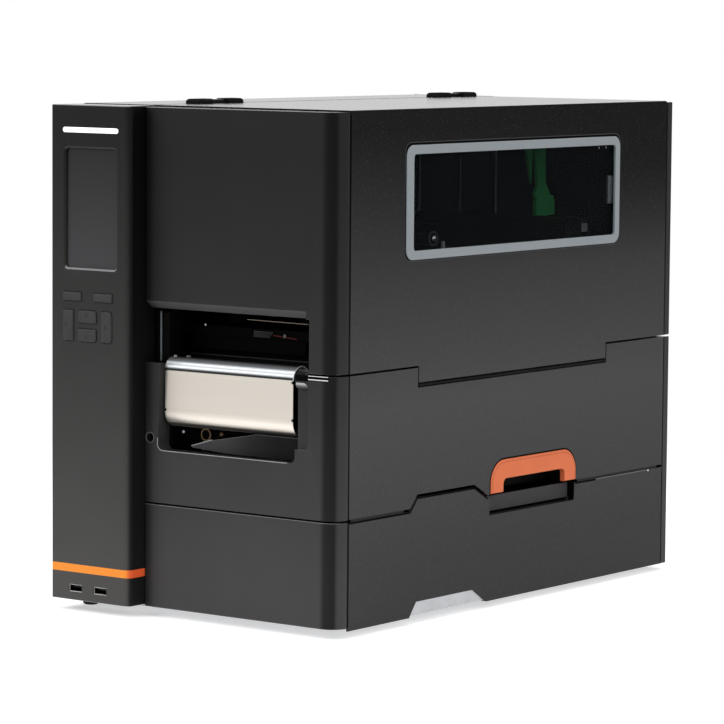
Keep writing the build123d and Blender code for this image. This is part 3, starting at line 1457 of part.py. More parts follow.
# Edge guide on its rod, which keeps the label web against the centre wall
edge_guide_inset = 51.9
edge_guide_thick = 6.0
edge_guide_deep = 20.0
edge_guide_tall = 24.0
edge_guide_x = right - edge_guide_inset
with BuildPart() as edge_guide:
    side_pad(about(edge_rod_y, edge_guide_deep), about(edge_rod_z, edge_guide_tall), exit_corner,
             (edge_guide_x, edge_guide_x + edge_guide_thick))
    rod_x((edge_guide_x - overrun, edge_guide_x + edge_guide_thick + overrun), edge_rod_y, edge_rod_z,
          shaft_radius + fit, Mode.SUBTRACT)
edge_guide.part.label = "edge_guide"
export_step(edge_guide.part, "parts/edge_guide.step")

# Dancer arm: takes up slack in the web between the roll and the edge guide
dancer_arm_long = 40.0
dancer_arm_thick = 5.0
dancer_hub = 9.0
dancer_bar = 4.0
dancer_arm_x = (wall_right + seam, wall_right + seam + dancer_arm_thick)
with BuildPart() as dancer_arm:
    with BuildSketch(Plane.YZ.offset(dancer_arm_x[0])):
        with Locations((dancer_y, dancer_z)):
            Circle(dancer_hub)
        with Locations((dancer_y - dancer_arm_long, dancer_z)):
            Circle(dancer_bar + sheet)
        make_hull()
    extrude(amount=dancer_arm_thick)
    rod_x((dancer_arm_x[1], rod_right), dancer_y - dancer_arm_long, dancer_z, dancer_bar)
    rod_x(grown(dancer_arm_x, overrun), dancer_y, dancer_z, shaft_radius + fit, Mode.SUBTRACT)
dancer_arm.part.label = "dancer_arm"
export_step(dancer_arm.part, "parts/dancer_arm.step")

# Label sensor: a bar under the head hub that looks down at the web
sensor_reach = 40.0
sensor_deep = 12.0
sensor_y = (platen_y + sensor_reach, platen_y + sensor_reach + sensor_deep)
sensor_gap = 2.5
sensor_tall = 6.0
with BuildPart() as label_sensor:
    block((wall_right, frame_plate_x), sensor_y, (bed_top + sensor_gap, bed_top + sensor_gap + sensor_tall))
label_sensor.part.label = "label_sensor"
export_step(label_sensor.part, "parts/label_sensor.step")

# Main board on its standoffs beside the centre wall
main_board_gap = 16.0
main_board_reach = 40.1
main_board_inset = 22.1
main_board_low = 126.0
main_board_drop = 20.0
main_board_x = wall_left - main_board_gap
main_board_y = (supply_y + main_board_reach, rear - main_board_inset)
main_board_z = (main_board_low, height - main_board_drop)
standoff_radius = 3.5
standoff_inset = 8.0
heat_sink = 40.0
heat_sink_high = 18.0
fin_pitch = 6.0
fin_count = 6
fin_thick = 2.0
capacitor_radius = 8.0
capacitor_high = 24.0
with BuildPart() as main_board:
    block((main_board_x, main_board_x + board_thick), main_board_y, main_board_z)
    for y in grown(main_board_y, -standoff_inset):
        for z in grown(main_board_z, -standoff_inset):
            rod_x((main_board_x + board_thick, wall_left), y, z, standoff_radius)
    sink_y = sum(main_board_y) / 2
    sink_z = main_board_z[1] - heat_sink
    block((main_board_x - fin_thick, main_board_x), about(sink_y, heat_sink), about(sink_z, heat_sink))
    for index in range(fin_count):
        fin_y = sink_y + (index - (fin_count - 1) / 2) * fin_pitch
        block((main_board_x - heat_sink_high, main_board_x - fin_thick), about(fin_y, fin_thick),
              about(sink_z, heat_sink))
    for index in range(3):
        rod_x((main_board_x - capacitor_high, main_board_x), sink_y + (index - 1) * 3 * capacitor_radius,
              main_board_z[0] + 2 * heat_sink, capacitor_radius)
main_board.part.label = "main_board"
export_step(main_board.part, "parts/main_board.step")

# Power supply: a vented can that stands on the pan
supply_can_wide = 52.0
supply_can_gap = 8.0
supply_can_front_inset = 201.8
supply_can_back_inset = 50.2
supply_x = (left + supply_can_gap, left + supply_can_gap + supply_can_wide)
supply_can_y = (rear - supply_can_front_inset, rear - supply_can_back_inset)
supply_can_top = 92.0
supply_slot_pitch = 12.0
supply_slot_count = 10
supply_slot_tall = 36.0
with BuildPart() as power_supply:
    block(supply_x, supply_can_y, (pan_top, supply_can_top))
    with BuildSketch(Plane.YZ.offset(supply_x[0])):
        with Locations((sum(supply_can_y) / 2, (pan_top + supply_can_top) / 2)):
            with GridLocations(supply_slot_pitch, supply_slot_tall, supply_slot_count, 1):
                SlotOverall(supply_slot_tall, slot_high, rotation=90)
    extrude(amount=plastic, mode=Mode.SUBTRACT)
power_supply.part.label = "power_supply"
export_step(power_supply.part, "parts/power_supply.step")

# Power inlet with its three blades, and the fixed frame of the power switch above it
inlet_deep = 26.0
inlet_flange = 1.2
inlet_flange_grow = 3.0
inlet_wall = 1.6
inlet_cavity = 17.0
inlet_blade_count = 3
inlet_blade_pitch = 7.0
inlet_blade_thick = 2.0
inlet_blade_tall = 4.0
rocker_wide = 15.0
rocker_pin = 1.2
rocker_sink = 3.0
rocker_gap = 1.0
rocker_back_reach = 5.0
switch_deep = 18.0
rocker_y = rear - rocker_sink
rocker_back = rocker_y - rocker_back_reach
rocker_half = switch_tall / 2 - inlet_wall - rocker_gap
with BuildPart() as power_inlet:
    block(about(inlet_x, inlet_wide), (rear - inlet_deep, rear), about(inlet_z, inlet_tall))
    front_pad(about(inlet_x, inlet_wide + 2 * inlet_flange_grow),
              about(inlet_z, inlet_tall + 2 * inlet_flange_grow), inlet_flange_grow,
              (rear, rear + inlet_flange))
    block(about(inlet_x, inlet_wide - 2 * inlet_wall), (rear - inlet_cavity, rear + overrun),
          about(inlet_z, inlet_tall - 2 * inlet_wall), Mode.SUBTRACT)
    for index in range(inlet_blade_count):
        blade_place = inlet_x + (index - (inlet_blade_count - 1) / 2) * inlet_blade_pitch
        block(about(blade_place, inlet_blade_thick), (rear - inlet_cavity, rear - plastic),
              about(inlet_z, inlet_blade_tall))
    block(about(inlet_x, switch_wide), (rear - switch_deep, rear), about(switch_z, switch_tall))
    front_pad(about(inlet_x, switch_wide + 2 * inlet_wall), about(switch_z, switch_tall + 2 * inlet_wall),
              inlet_wall, (rear, rear + inlet_flange / 2))
    block(about(inlet_x, rocker_wide + 2 * play), (rear - switch_deep + inlet_wall, rear + overrun),
          about(switch_z, switch_tall - 2 * inlet_wall), Mode.SUBTRACT)
    rod_x(about(inlet_x, switch_wide - 2 * play), rocker_y, switch_z, rocker_pin)
power_inlet.part.label = "power_inlet"
export_step(power_inlet.part, "parts/power_inlet.step")

# Rocker of the power switch, on a pin across its frame
rocker_side = [
    (rocker_back, switch_z - rocker_half / 2),
    (rocker_back, switch_z + rocker_half / 2),
    (rocker_y + rocker_pin, switch_z + rocker_half),
    (rear + inlet_flange / 2, switch_z + rocker_half),
    (rear - inlet_wall / 2, switch_z),
    (rear - inlet_wall / 2, switch_z - rocker_half),
    (rocker_y + rocker_pin, switch_z - rocker_half),
]
with BuildPart() as power_rocker:
    side_plate(rocker_side, about(inlet_x, rocker_wide))
    rod_x(about(inlet_x, rocker_wide + 2 * overrun), rocker_y, switch_z, rocker_pin + fit, Mode.SUBTRACT)
power_rocker.part.label = "power_rocker"
export_step(power_rocker.part, "parts/power_rocker.step")

# Data sockets in the rear panel: square USB, network and nine pin serial
data_socket_deep = 16.0
data_socket_wall = 1.0
pin_radius = 0.5
pin_pitch = 2.7
serial_rows = ((serial_z + pin_pitch / 2, 5), (serial_z - pin_pitch / 2, 4))
with BuildPart() as data_sockets:
    for x_span, z_span in socket_spans[2:4]:
        block(x_span, (rear - data_socket_deep, rear), z_span)
        block(grown(x_span, -data_socket_wall), (rear - data_socket_deep + data_socket_wall, rear + overrun),
              grown(z_span, -data_socket_wall), Mode.SUBTRACT)
    block(about(inlet_x, usb_b_wide / 2), (rear - data_socket_deep, rear - plastic),
          about(usb_b_z, usb_b_tall / 3))
    front_pad(about(inlet_x, serial_wide), about(serial_z, serial_tall), key_round,
              (rear - inlet_cavity, rear + inlet_flange))
    front_pad(about(inlet_x, serial_wide - 2 * data_socket_wall),
              about(serial_z, serial_tall - 2 * data_socket_wall), key_round - sleeve,
              (rear - plastic, rear + inlet_flange + overrun), Mode.SUBTRACT)
    for row_z, count in serial_rows:
        for index in range(count):
            rod_y((rear - plastic, rear + inlet_flange - sleeve),
                  inlet_x + (index - (count - 1) / 2) * pin_pitch, row_z, pin_radius)
data_sockets.part.label = "data_sockets"
export_step(data_sockets.part, "parts/data_sockets.step")

# Screws: one in the exit cover and eight round the rear of the machine
screw_inset = 5.0
exit_head_y = exit_screw_seat - screw_head_thick
rear_screw_x = (left + screw_inset, wall_left - screw_inset, rear_wall_left + 3 * screw_inset,
                right - screw_inset - plastic)
rear_screw_z = (panel_floor + 2 * screw_inset, seam_mid - 3 * screw_inset)
with BuildPart() as panel_screws:
    for x in rear_screw_x:
        for z in rear_screw_z:
            rod_y((rear, rear + screw_head_thick), x, z, screw_head)
            for slot_x, slot_z in ((screw_head, screw_slot), (screw_slot, screw_head)):
                block(about(x, slot_x), (rear + screw_head_thick / 2, rear + overrun), about(z, slot_z),
                      Mode.SUBTRACT)
    rod_y((exit_head_y, exit_head_y + screw_head_thick), exit_screw_x, exit_screw_z, screw_head)
    rod_y((exit_head_y + screw_head_thick, cheek_back), exit_screw_x, exit_screw_z, screw_shank)
    for slot_x, slot_z in ((screw_head, screw_slot), (screw_slot, screw_head)):
        block(about(exit_screw_x, slot_x), (exit_head_y - overrun, exit_head_y + screw_head_thick / 2),
              about(exit_screw_z, slot_z), Mode.SUBTRACT)
panel_screws.part.label = "panel_screws"
export_step(panel_screws.part, "parts/panel_screws.step")
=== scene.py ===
"""Looks of the label printer: finishes, rounded casings, bright exit plate, fittings and a plain studio.

Laid out as an add-on whose operators each make one group of pieces round the loaded frame.
Lengths are metres in the frame's own axes: X to the machine's right, Y to the back, Z up.
"""

import json
import math

import bmesh
import bpy
import numpy as np
from bpy.props import FloatProperty, FloatVectorProperty, PointerProperty
from mathutils import Matrix, Vector

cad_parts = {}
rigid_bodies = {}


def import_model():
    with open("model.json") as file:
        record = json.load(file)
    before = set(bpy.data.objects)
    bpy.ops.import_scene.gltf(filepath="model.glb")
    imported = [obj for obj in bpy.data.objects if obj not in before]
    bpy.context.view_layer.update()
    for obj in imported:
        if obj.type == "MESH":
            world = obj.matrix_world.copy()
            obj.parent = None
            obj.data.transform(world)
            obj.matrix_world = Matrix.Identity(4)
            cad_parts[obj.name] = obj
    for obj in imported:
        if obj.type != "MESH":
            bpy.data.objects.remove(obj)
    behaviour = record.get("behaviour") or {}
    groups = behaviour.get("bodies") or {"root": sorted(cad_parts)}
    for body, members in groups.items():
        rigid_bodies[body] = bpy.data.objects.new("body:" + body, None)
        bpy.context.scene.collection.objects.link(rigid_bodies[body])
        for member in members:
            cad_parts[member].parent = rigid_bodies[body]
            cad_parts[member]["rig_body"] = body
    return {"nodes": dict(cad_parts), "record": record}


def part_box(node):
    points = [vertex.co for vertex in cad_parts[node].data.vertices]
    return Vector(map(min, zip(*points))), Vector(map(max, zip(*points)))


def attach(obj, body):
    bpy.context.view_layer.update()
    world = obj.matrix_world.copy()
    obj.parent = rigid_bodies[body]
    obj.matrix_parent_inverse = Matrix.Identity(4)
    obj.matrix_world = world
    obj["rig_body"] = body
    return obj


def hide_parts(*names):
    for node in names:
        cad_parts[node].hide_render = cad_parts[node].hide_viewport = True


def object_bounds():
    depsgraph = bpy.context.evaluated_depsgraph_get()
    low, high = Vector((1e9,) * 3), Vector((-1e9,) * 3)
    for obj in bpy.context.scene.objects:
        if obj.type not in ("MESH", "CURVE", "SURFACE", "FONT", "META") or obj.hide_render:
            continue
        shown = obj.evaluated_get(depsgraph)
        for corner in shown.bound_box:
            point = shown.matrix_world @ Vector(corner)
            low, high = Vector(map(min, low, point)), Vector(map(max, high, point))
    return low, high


bl_info = {
    "name": "Label printer",
    "version": (1, 0, 0),
    "blender": (4, 5, 0),
    "location": "View3D > Sidebar > Printer",
    "description": "Dresses the label printer's frame with finished surfaces and fittings",
    "category": "Add Mesh",
}

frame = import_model()
cad_box = [list(corner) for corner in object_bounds()]

MM = 0.001
MERGE_DISTANCE = 0.002 * MM
FLAT_ANGLE = math.radians(0.6)
SHARP_ANGLE = math.radians(32)
FULL_TURN = 2 * math.pi
QUARTER_TURN = math.pi / 2


class CasingSettings(bpy.types.PropertyGroup):
    """Edges and colours of the casing."""

    sheet_edge: FloatProperty(name="Sheet edge", description="Round on the edges of the sheet metal",
                              default=0.35 * MM, unit="LENGTH")
    moulded_edge: FloatProperty(name="Moulded edge", description="Round on the edges of the mouldings",
                                default=0.6 * MM, unit="LENGTH")
    fitting_edge: FloatProperty(name="Fitting edge", description="Round on the edges of small fittings",
                                default=0.3 * MM, unit="LENGTH")
    side_tint: FloatVectorProperty(name="Side metal", description="Tint of the sheet metal's powder coat",
                                   default=(1.0, 0.97, 1.01), size=3, subtype="COLOR")
    front_tint: FloatVectorProperty(name="Front plastic", description="Tint of the media side's mouldings",
                                    default=(1.0, 0.97, 0.99), size=3, subtype="COLOR")
    column_tint: FloatVectorProperty(name="Column plastic", description="Tint of the control column",
                                     default=(1.0, 0.98, 0.96), size=3, subtype="COLOR")
    key_colour: FloatVectorProperty(name="Key plastic", description="Soft keys and arrow keys",
                                    default=(0.027, 0.027, 0.028), size=3, subtype="COLOR")
    stripe_colour: FloatVectorProperty(name="Stripe", description="Accent stripe round the column",
                                       default=(0.86, 0.27, 0.036), size=3, subtype="COLOR")
    grip_colour: FloatVectorProperty(name="Grip", description="Hand hold of the folding panel",
                                     default=(0.70, 0.165, 0.062), size=3, subtype="COLOR")


class WindowSettings(bpy.types.PropertyGroup):
    """Window frame and pane."""

    frame_colour: FloatVectorProperty(name="Frame", description="Moulded frame round the pane",
                                      default=(0.27, 0.30, 0.32), size=3, subtype="COLOR")
    glass_colour: FloatVectorProperty(name="Glass", description="Smoked pane",
                                      default=(0.004, 0.006, 0.007), size=3, subtype="COLOR")
    glass_cover: FloatProperty(name="Glass cover", description="How much of what lies behind the pane hides",
                               default=0.16, min=0, max=1, subtype="FACTOR")


class ExitSettings(bpy.types.PropertyGroup):
    """Bright plate at the label exit."""

    sheet: FloatProperty(name="Sheet", description="Thickness of the plate's sheets",
                         default=0.8 * MM, unit="LENGTH")
    roll_drop: FloatProperty(name="Roll drop", description="Height of the rolled sheet over the face sheet",
                             default=9.6 * MM, unit="LENGTH")
    face_colour: FloatVectorProperty(name="Face", description="Brushed face sheet",
                                     default=(0.605, 0.562, 0.505), size=3, subtype="COLOR")
    roll_colour: FloatVectorProperty(name="Roll", description="Polished rolled sheet",
                                     default=(0.86, 0.90, 0.94), size=3, subtype="COLOR")


class StudioSettings(bpy.types.PropertyGroup):
    """Camera, floor and light."""

    camera_place: FloatVectorProperty(name="Camera", description="Place of the camera",
                                      default=(1.8496, -2.5010, 0.4944), size=3, subtype="TRANSLATION")
    camera_turn: FloatProperty(name="Turn", description="Turn of the view from straight back",
                               default=0.6395, subtype="ANGLE")
    camera_dip: FloatProperty(name="Dip", description="How far the view looks down",
                              default=0.0967, subtype="ANGLE")
    camera_roll: FloatProperty(name="Roll", description="Turn of the picture about its middle",
                               default=0.0077, subtype="ANGLE")
    lens: FloatProperty(name="Lens", description="Focal length in millimetres on a 36 mm frame",
                        default=183.9)
    floor_size: FloatProperty(name="Floor", description="Side of the floor", default=14.0, unit="LENGTH")
    floor_colour: FloatVectorProperty(name="Floor", description="Pale floor",
                                      default=(0.86, 0.86, 0.86), size=3, subtype="COLOR")
    floor_glow: FloatProperty(name="Floor glow", description="White added to the floor as the camera sees it",
                              default=0.42)
    sky_strength: FloatProperty(name="Sky", description="Strength of the light from all round", default=0.55)
    key_power: FloatProperty(name="Key", description="Power of the large lamp at the front left",
                             default=55.0, unit="POWER")
    fill_power: FloatProperty(name="Fill", description="Power of the lamp at the right",
                              default=26.0, unit="POWER")
    top_power: FloatProperty(name="Top", description="Power of the lamp overhead", default=40.0, unit="POWER")


# Greys of the casing's colours, with light and shade painted in by height: mostly lighter low down and darker
# towards the top, the wedge's even; as (share of the height, grey)
SIDE_GREY_AND_PAINTED_LIGHT = ((0.0, 0.044), (0.12, 0.046), (0.42, 0.069), (0.62, 0.047), (0.95, 0.005), (1.0, 0.0045))
FRONT_GREY_AND_PAINTED_LIGHT = ((0.0, 0.053), (0.12, 0.052), (0.35, 0.040), (0.65, 0.025), (0.9, 0.017), (1.0, 0.016))
COLUMN_GREY_AND_PAINTED_LIGHT = ((0.0, 0.067), (0.08, 0.065), (0.5, 0.038), (0.97, 0.0115), (1.0, 0.011))
WEDGE_TONES = ((0.0, 0.055), (1.0, 0.055))
# Plain grey of level tops, which take no painted light by height
LEVEL_GREY = 0.03

# Painted shade in bands across the width: beside the column, a painted dark band in the front's rounded right
# corner, on the column's side, and towards the right of the wedge under the exit plate; as (millimetres to
# the right, factor)
FRONT_SHADE_BANDS = ((-55.2, 0.35), (-46.0, 1.0), (121.5, 1.0), (126.0, 0.3), (133.6, 0.24), (135.2, 1.0))
COLUMN_SHADE_BANDS = ((-62.0, 1.0), (-58.6, 1.0), (-57.0, 0.16))
WEDGE_SHADE_BANDS = ((-14.0, 1.0), (20.0, 0.75), (45.0, 0.3), (70.0, 0.09), (96.0, 0.04))
# Where the stripe's front turns into its side, which has painted shade; metres across
STRIPE_TURN = (-59.6 * MM, -57.0 * MM)

# Painted reflections, highlights and shade by height on the exit plate's sheets, and a painted highlight on
# the ledge beside it, as (share of the height, factor)
ROLL_PAINTED_REFLECTIONS = ((0.0, 0.02), (0.07, 0.03), (0.12, 0.2), (0.2, 0.5), (0.29, 0.62), (0.37, 0.34), (0.45, 0.42),
                (0.54, 0.95), (0.63, 0.8), (0.71, 0.27), (0.84, 0.2), (0.93, 0.12), (0.98, 0.03))
FACE_PAINTED_LIGHT = ((0.0, 1.25), (0.12, 1.25), (0.21, 1.18), (0.29, 1.0), (1.0, 0.97))
CURL_PAINTED_LIGHT = ((0.0, 0.30), (0.08, 0.22), (0.16, 0.05), (0.5, 0.05), (0.8, 0.14), (1.0, 0.5))
LEDGE_PAINTED_HIGHLIGHT = ((0.0, 0.06), (0.3, 0.10), (0.6, 0.45), (0.8, 0.8), (1.0, 0.3))
LEDGE_HEIGHTS = (195.5 * MM, 201.3 * MM)

# The studio: its surroundings by height, where the floor goes over to white in metres, and the camera
SKY_STEPS = ((0.0, 1.0), (0.3, 1.0), (0.5, 0.12), (1.0, 0.12))
FADE_START, FADE_END = 0.45, 1.1
WHITE = (1, 1, 1, 1)
LAMP_AIM = Vector((0, 0, 0.2))
SENSOR_WIDTH = 36.0
FAR_CLIP = 50.0

# Where the window's clips end, past which the moulding has painted shade, and where the side's sheets have
# painted shade: high at the back and over the fold's barrels
CLIP_ENDS = (134.3 * MM, 134.9 * MM)
PAINTED_SHADE_HIGH_BACK = {"Y": (-0.25, 0.18), "Z": (0.28, 0.36)}
FOLD_BARREL_SHADE = {"X": (0.13, 0.13795), "Y": (-0.1234, 0.1489), "Z": (0.1899, 0.1945)}

# How steep a face has to be for the slope and level masks, and how fast they rise
SLOPE_START, SLOPE_RISE = 0.3, 5
LEVEL_START, LEVEL_RISE = 0.8, 8

# Planes and places of the trim, in millimetres
SIDE_FACE = 138.0
TRIM_DEPTH = 0.1
PANEL_FRONT, PANEL_BACK = -216.0, 242.5
BASE_TOP = 91.4
COVER_FACE = -231.6
CATCH_FACE = -206.0
HEAD_FACE = -197.0
RIBBON_ROD = (-45.3, 303.6)

# How finely round shapes are cut up
HOOP_STEPS = 25
BEND_STEPS = 9
ROLL_STEPS = 33
CORNER_STEPS = 8
FOOT_STEPS = 12
BUSH_STEPS = 24
DOME_STEPS = 20
CROWN_RINGS = 7
CROWN_START = 0.02


def width_stops(bands):
    """Stops given as (millimetres across the machine, factor), as shares of its width."""
    left, right = cad_box[0][0], cad_box[1][0]
    return tuple(((place * MM - left) / (right - left), factor) for place, factor in bands)


def settings(name):
    """One group of the add-on's settings."""
    return getattr(bpy.context.scene, "printer_" + name)


class Value:
    """A number on a node's socket. Python's operators on it add Math nodes."""

    def __init__(self, nodes, socket):
        self.nodes = nodes
        self.socket = socket

    def math(self, operation, *values, clamp=False):
        """A Math node on the given values and numbers."""
        return self.nodes.node("ShaderNodeMath", {"operation": operation, "use_clamp": clamp},
                               dict(enumerate(values)))

    def __add__(self, other):
        return self.math("ADD", self, other)

    def __sub__(self, other):
        return self.math("SUBTRACT", self, other)

    def __rsub__(self, other):
        return self.math("SUBTRACT", other, self)

    def __mul__(self, other):
        return self.math("MULTIPLY", self, other)

    def __truediv__(self, other):
        return self.math("DIVIDE", self, other)

    def __gt__(self, other):
        return self.math("GREATER_THAN", self, other)

    __radd__ = __add__
    __rmul__ = __mul__

    def clamped(self):
        """The value held between nought and one."""
        return self.math("ADD", self, 0, clamp=True)


class Nodes:
    """A node tree under construction."""

    def __init__(self, tree, output):
        self.tree = tree
        tree.nodes.clear()
        self.output = tree.nodes.new(output)

    def node(self, kind, fixed=None, inputs=None, out=0):
        """Adds a node: its settings first, then the values or links of its sockets."""
        node = self.tree.nodes.new(kind)
        for key, value in (fixed or {}).items():
            if key == "stops":
                self.set_stops(node.color_ramp, value)
            else:
                setattr(node, key, value)
        for key, value in (inputs or {}).items():
            if isinstance(value, Value):
                self.tree.links.new(value.socket, node.inputs[key])
            else:
                node.inputs[key].default_value = value
        return Value(self, node.outputs[out])

    @staticmethod
    def set_stops(ramp, stops):
        """Gives a colour ramp its (place, grey) stops."""
        ramp.elements[0].position = stops[0][0]
        ramp.elements[-1].position = stops[-1][0]
        for place, _ in stops[1:-1]:
            ramp.elements.new(place)
        for element, (_, grey) in zip(ramp.elements, stops):
            element.color = (grey, grey, grey, 1)

    def steps(self, value, stops):
        """A ramp over the value, as (place, result) stops."""
        return self.node("ShaderNodeValToRGB", {"stops": stops}, {"Fac": value}, "Color")

    def component(self, vector, axis):
        """One component of a vector."""
        return self.node("ShaderNodeSeparateXYZ", None, {"Vector": vector}, axis)

    def bright_ray(self):
        """One for camera, glossy and transmission rays, nought for the rest."""
        camera, glossy, through = (self.node("ShaderNodeLightPath", out=f"Is {kind} Ray")
                                   for kind in ("Camera", "Glossy", "Transmission"))
        return (camera + glossy + through).clamped()

    def surface(self, shader):
        """Ends the tree in a shader."""
        self.tree.links.new(shader.socket, self.output.inputs["Surface"])


class Finish(Nodes):
    """A material under construction: one shader and the nodes that feed it."""

    def __init__(self, name):
        self.material = bpy.data.materials.new(name)
        self.material.use_nodes = True
        super().__init__(self.material.node_tree, "ShaderNodeOutputMaterial")
        self.place = self.node("ShaderNodeTexCoord", out="Object")

    def noise(self, scale, detail, rough, along=None):
        """Noise from nought to one, with scale cells to the metre, stretched along each axis if asked."""
        place = self.place
        if along:
            place = self.node("ShaderNodeMapping", {"vector_type": "POINT"},
                              {"Vector": place, "Scale": along}, "Vector")
        return self.node("ShaderNodeTexNoise", None,
                         {"Vector": place, "Scale": scale, "Detail": detail, "Roughness": rough}, "Fac")

    def flakes(self, scale, share):
        """One on the given share of many scattered cells, nought on the rest."""
        cells = self.node("ShaderNodeTexVoronoi", None, {"Vector": self.place, "Scale": scale}, "Color")
        return self.node("ShaderNodeSeparateColor", None, {"Color": cells}, "Red") > 1 - share

    def mixed(self, share, first, second):
        """The first colour going over to the second as the share goes from nought to one."""
        return self.node("ShaderNodeMix", {"data_type": "RGBA"},
                         {"Factor": share, 6: with_alpha(first), 7: with_alpha(second)}, 2)

    def bump(self, height, distance, strength):
        """A normal from a height in units of the distance."""
        return self.node("ShaderNodeBump", None,
                         {"Height": height, "Distance": distance, "Strength": strength}, "Normal")

    def axis_share(self, axis, low, high):
        """Nought at the low place on an axis to one at the high one."""
        return ((self.component(self.place, axis) - low) / (high - low)).clamped()

    def within(self, axis, low, high):
        """One between two places on an axis, nought past them."""
        along = self.component(self.place, axis)
        return (along > low) * (1 - (along > high))

    def looking(self, axis):
        """How far each face looks along an axis."""
        return self.component(self.node("ShaderNodeTexCoord", out="Normal"), axis)

    def tinted(self, colour, tint):
        """One colour multiplied by another."""
        return self.node("ShaderNodeMix", {"data_type": "RGBA", "blend_type": "MULTIPLY"},
                         {"Factor": 1.0, 6: with_alpha(colour), 7: with_alpha(tint)}, 2)

    def casing_tone(self, tint, tones, bands=None):
        """The tint times the grey of each height, which paints light and shade in by height, darker again in
        bands of painted shade across the machine's width.
        """
        tone = self.tinted(self.steps(self.axis_share("Z", cad_box[0][2], cad_box[1][2]), tones), tint)
        if bands:
            across = self.axis_share("X", cad_box[0][0], cad_box[1][0])
            tone = self.tinted(tone, self.steps(across, width_stops(bands)))
        return tone

    def slope(self, upwards):
        """Mask for painted highlights: one on slopes that look forwards and up (1) or down (-1), nought on
        upright and level faces.
        """
        steep = ((self.looking("Z") * upwards - SLOPE_START) * SLOPE_RISE).clamped()
        return steep * ((self.looking("Y") * -1 - SLOPE_START) * SLOPE_RISE).clamped()

    def level(self):
        """One on faces that look straight up, nought on the rest."""
        return ((self.looking("Z") - LEVEL_START) * LEVEL_RISE).clamped()

    def scaled(self, colour, factor):
        """A colour made lighter or darker, whether it is fixed or comes from a node."""
        return self.tinted(colour, (factor,) * 3) if isinstance(colour, Value) else times(colour, factor)

    def varied(self, share, colour, dark, light):
        """The colour from its dark factor to its light one as the share goes from nought to one."""
        return self.mixed(share, self.scaled(colour, dark), self.scaled(colour, light))

    def grazing(self):
        """Nought for a surface seen squarely, one for a surface seen along its face."""
        start, end = 0.74, 0.86
        facing = self.node("ShaderNodeLayerWeight", None, {"Blend": 0.5}, "Facing")
        return ((facing - start) / (end - start)).clamped()

    def done(self, **inputs):
        """Closes the material with one Principled shader."""
        names = {key.replace("_", " "): value for key, value in inputs.items()}
        for key in ("Base Color", "Emission Color"):
            if key in names and not isinstance(names[key], Value):
                names[key] = with_alpha(names[key])
        self.surface(self.node("ShaderNodeBsdfPrincipled", None, names))
        return self.material


def with_alpha(colour):
    """A colour's four numbers, or the value itself where it comes from a node."""
    if isinstance(colour, Value):
        return colour
    return (*tuple(colour)[:3], 1.0)


def times(colour, factor):
    """A colour made lighter or darker."""
    return tuple(channel * factor for channel in tuple(colour)[:3])


def powder_coat(name, colour, tones=None):
    """Fine powder coat: an orange-peel bump, mottled tone and a few small bright flakes; given tones, painted
    light and shade as well.
    """
    finish = Finish(name)
    grain = finish.noise(1500, 3, 0.6)
    skin = finish.noise(520, 3, 0.6) * 0.5 + grain * 0.5
    sparkle = finish.flakes(2000, 0.025)
    base = finish.varied(skin, finish.casing_tone(colour, tones) if tones else colour, 0.74, 1.26)
    if tones:
        # Painted shade: darker high at the back and over the fold's barrels; level tops keep a plain grey,
        # free of the painted light by height
        high_back_shade = finish.axis_share("Y", *PAINTED_SHADE_HIGH_BACK["Y"]) * finish.axis_share("Z", *PAINTED_SHADE_HIGH_BACK["Z"])
        base = finish.mixed(high_back_shade * 0.9, base, finish.scaled(base, 0.06))
        base = finish.mixed(finish.level(), base, times(colour, LEVEL_GREY))
        in_x, in_y, in_z = (finish.within(axis, *span) for axis, span in FOLD_BARREL_SHADE.items())
        base = finish.mixed(in_x * in_y * in_z, base, finish.scaled(base, 0.05))
    base = finish.mixed(sparkle * 0.1, base, (0.30, 0.29, 0.31))
    return finish.done(Base_Color=base, Roughness=0.5 + grain * 0.12 - sparkle * 0.1,
                       Specular_IOR_Level=0.06, Coat_Weight=finish.grazing(), Coat_Roughness=0.2,
                       Normal=finish.bump(skin, 0.05 * MM, 0.6))


def satin_plastic(name, colour, rough, grain_size, specular, tones=None, bands=None):
    """Moulded plastic with a fine spark-eroded grain and a faint change of tone; given tones, painted light,
    shade and highlights as well.
    """
    finish = Finish(name)
    grain = finish.noise(grain_size, 2, 0.55)
    cloud = finish.noise(24, 2, 0.5)
    base = finish.varied(cloud, finish.casing_tone(colour, tones, bands) if tones else colour, 0.9, 1.1)
    inputs = {}
    if tones:
        inputs = {"Coat_Weight": finish.grazing(), "Coat_Roughness": 0.18}
        # Painted highlights: slopes that look forwards and down much lighter, slopes that look forwards and
        # up towards a light grey
        base = finish.mixed(finish.slope(-1) * 0.9, base, finish.scaled(base, 4.6))
        base = finish.mixed(finish.slope(1) * 0.8, base, (0.26, 0.26, 0.27))
    return finish.done(Base_Color=base, Roughness=rough + (grain - 0.5) * 0.12 + (cloud - 0.5) * 0.05,
                       Specular_IOR_Level=specular, Normal=finish.bump(grain, 0.025 * MM, 0.7), **inputs)


def brushed_metal(name, colour, rough):
    """Metal with fine hair lines across the machine and soft clouds over them."""
    finish = Finish(name)
    hair = finish.noise(1.0, 4, 0.6, (6, 900, 900))
    cloud = finish.noise(30, 2, 0.5, (0.2, 1.0, 1.0))
    return finish.done(Base_Color=finish.varied(hair * 0.6 + cloud * 0.4, colour, 0.86, 1.1), Metallic=1.0,
                       Roughness=rough + (hair - 0.5) * 0.22, Normal=finish.bump(hair, 0.004 * MM, 0.5))


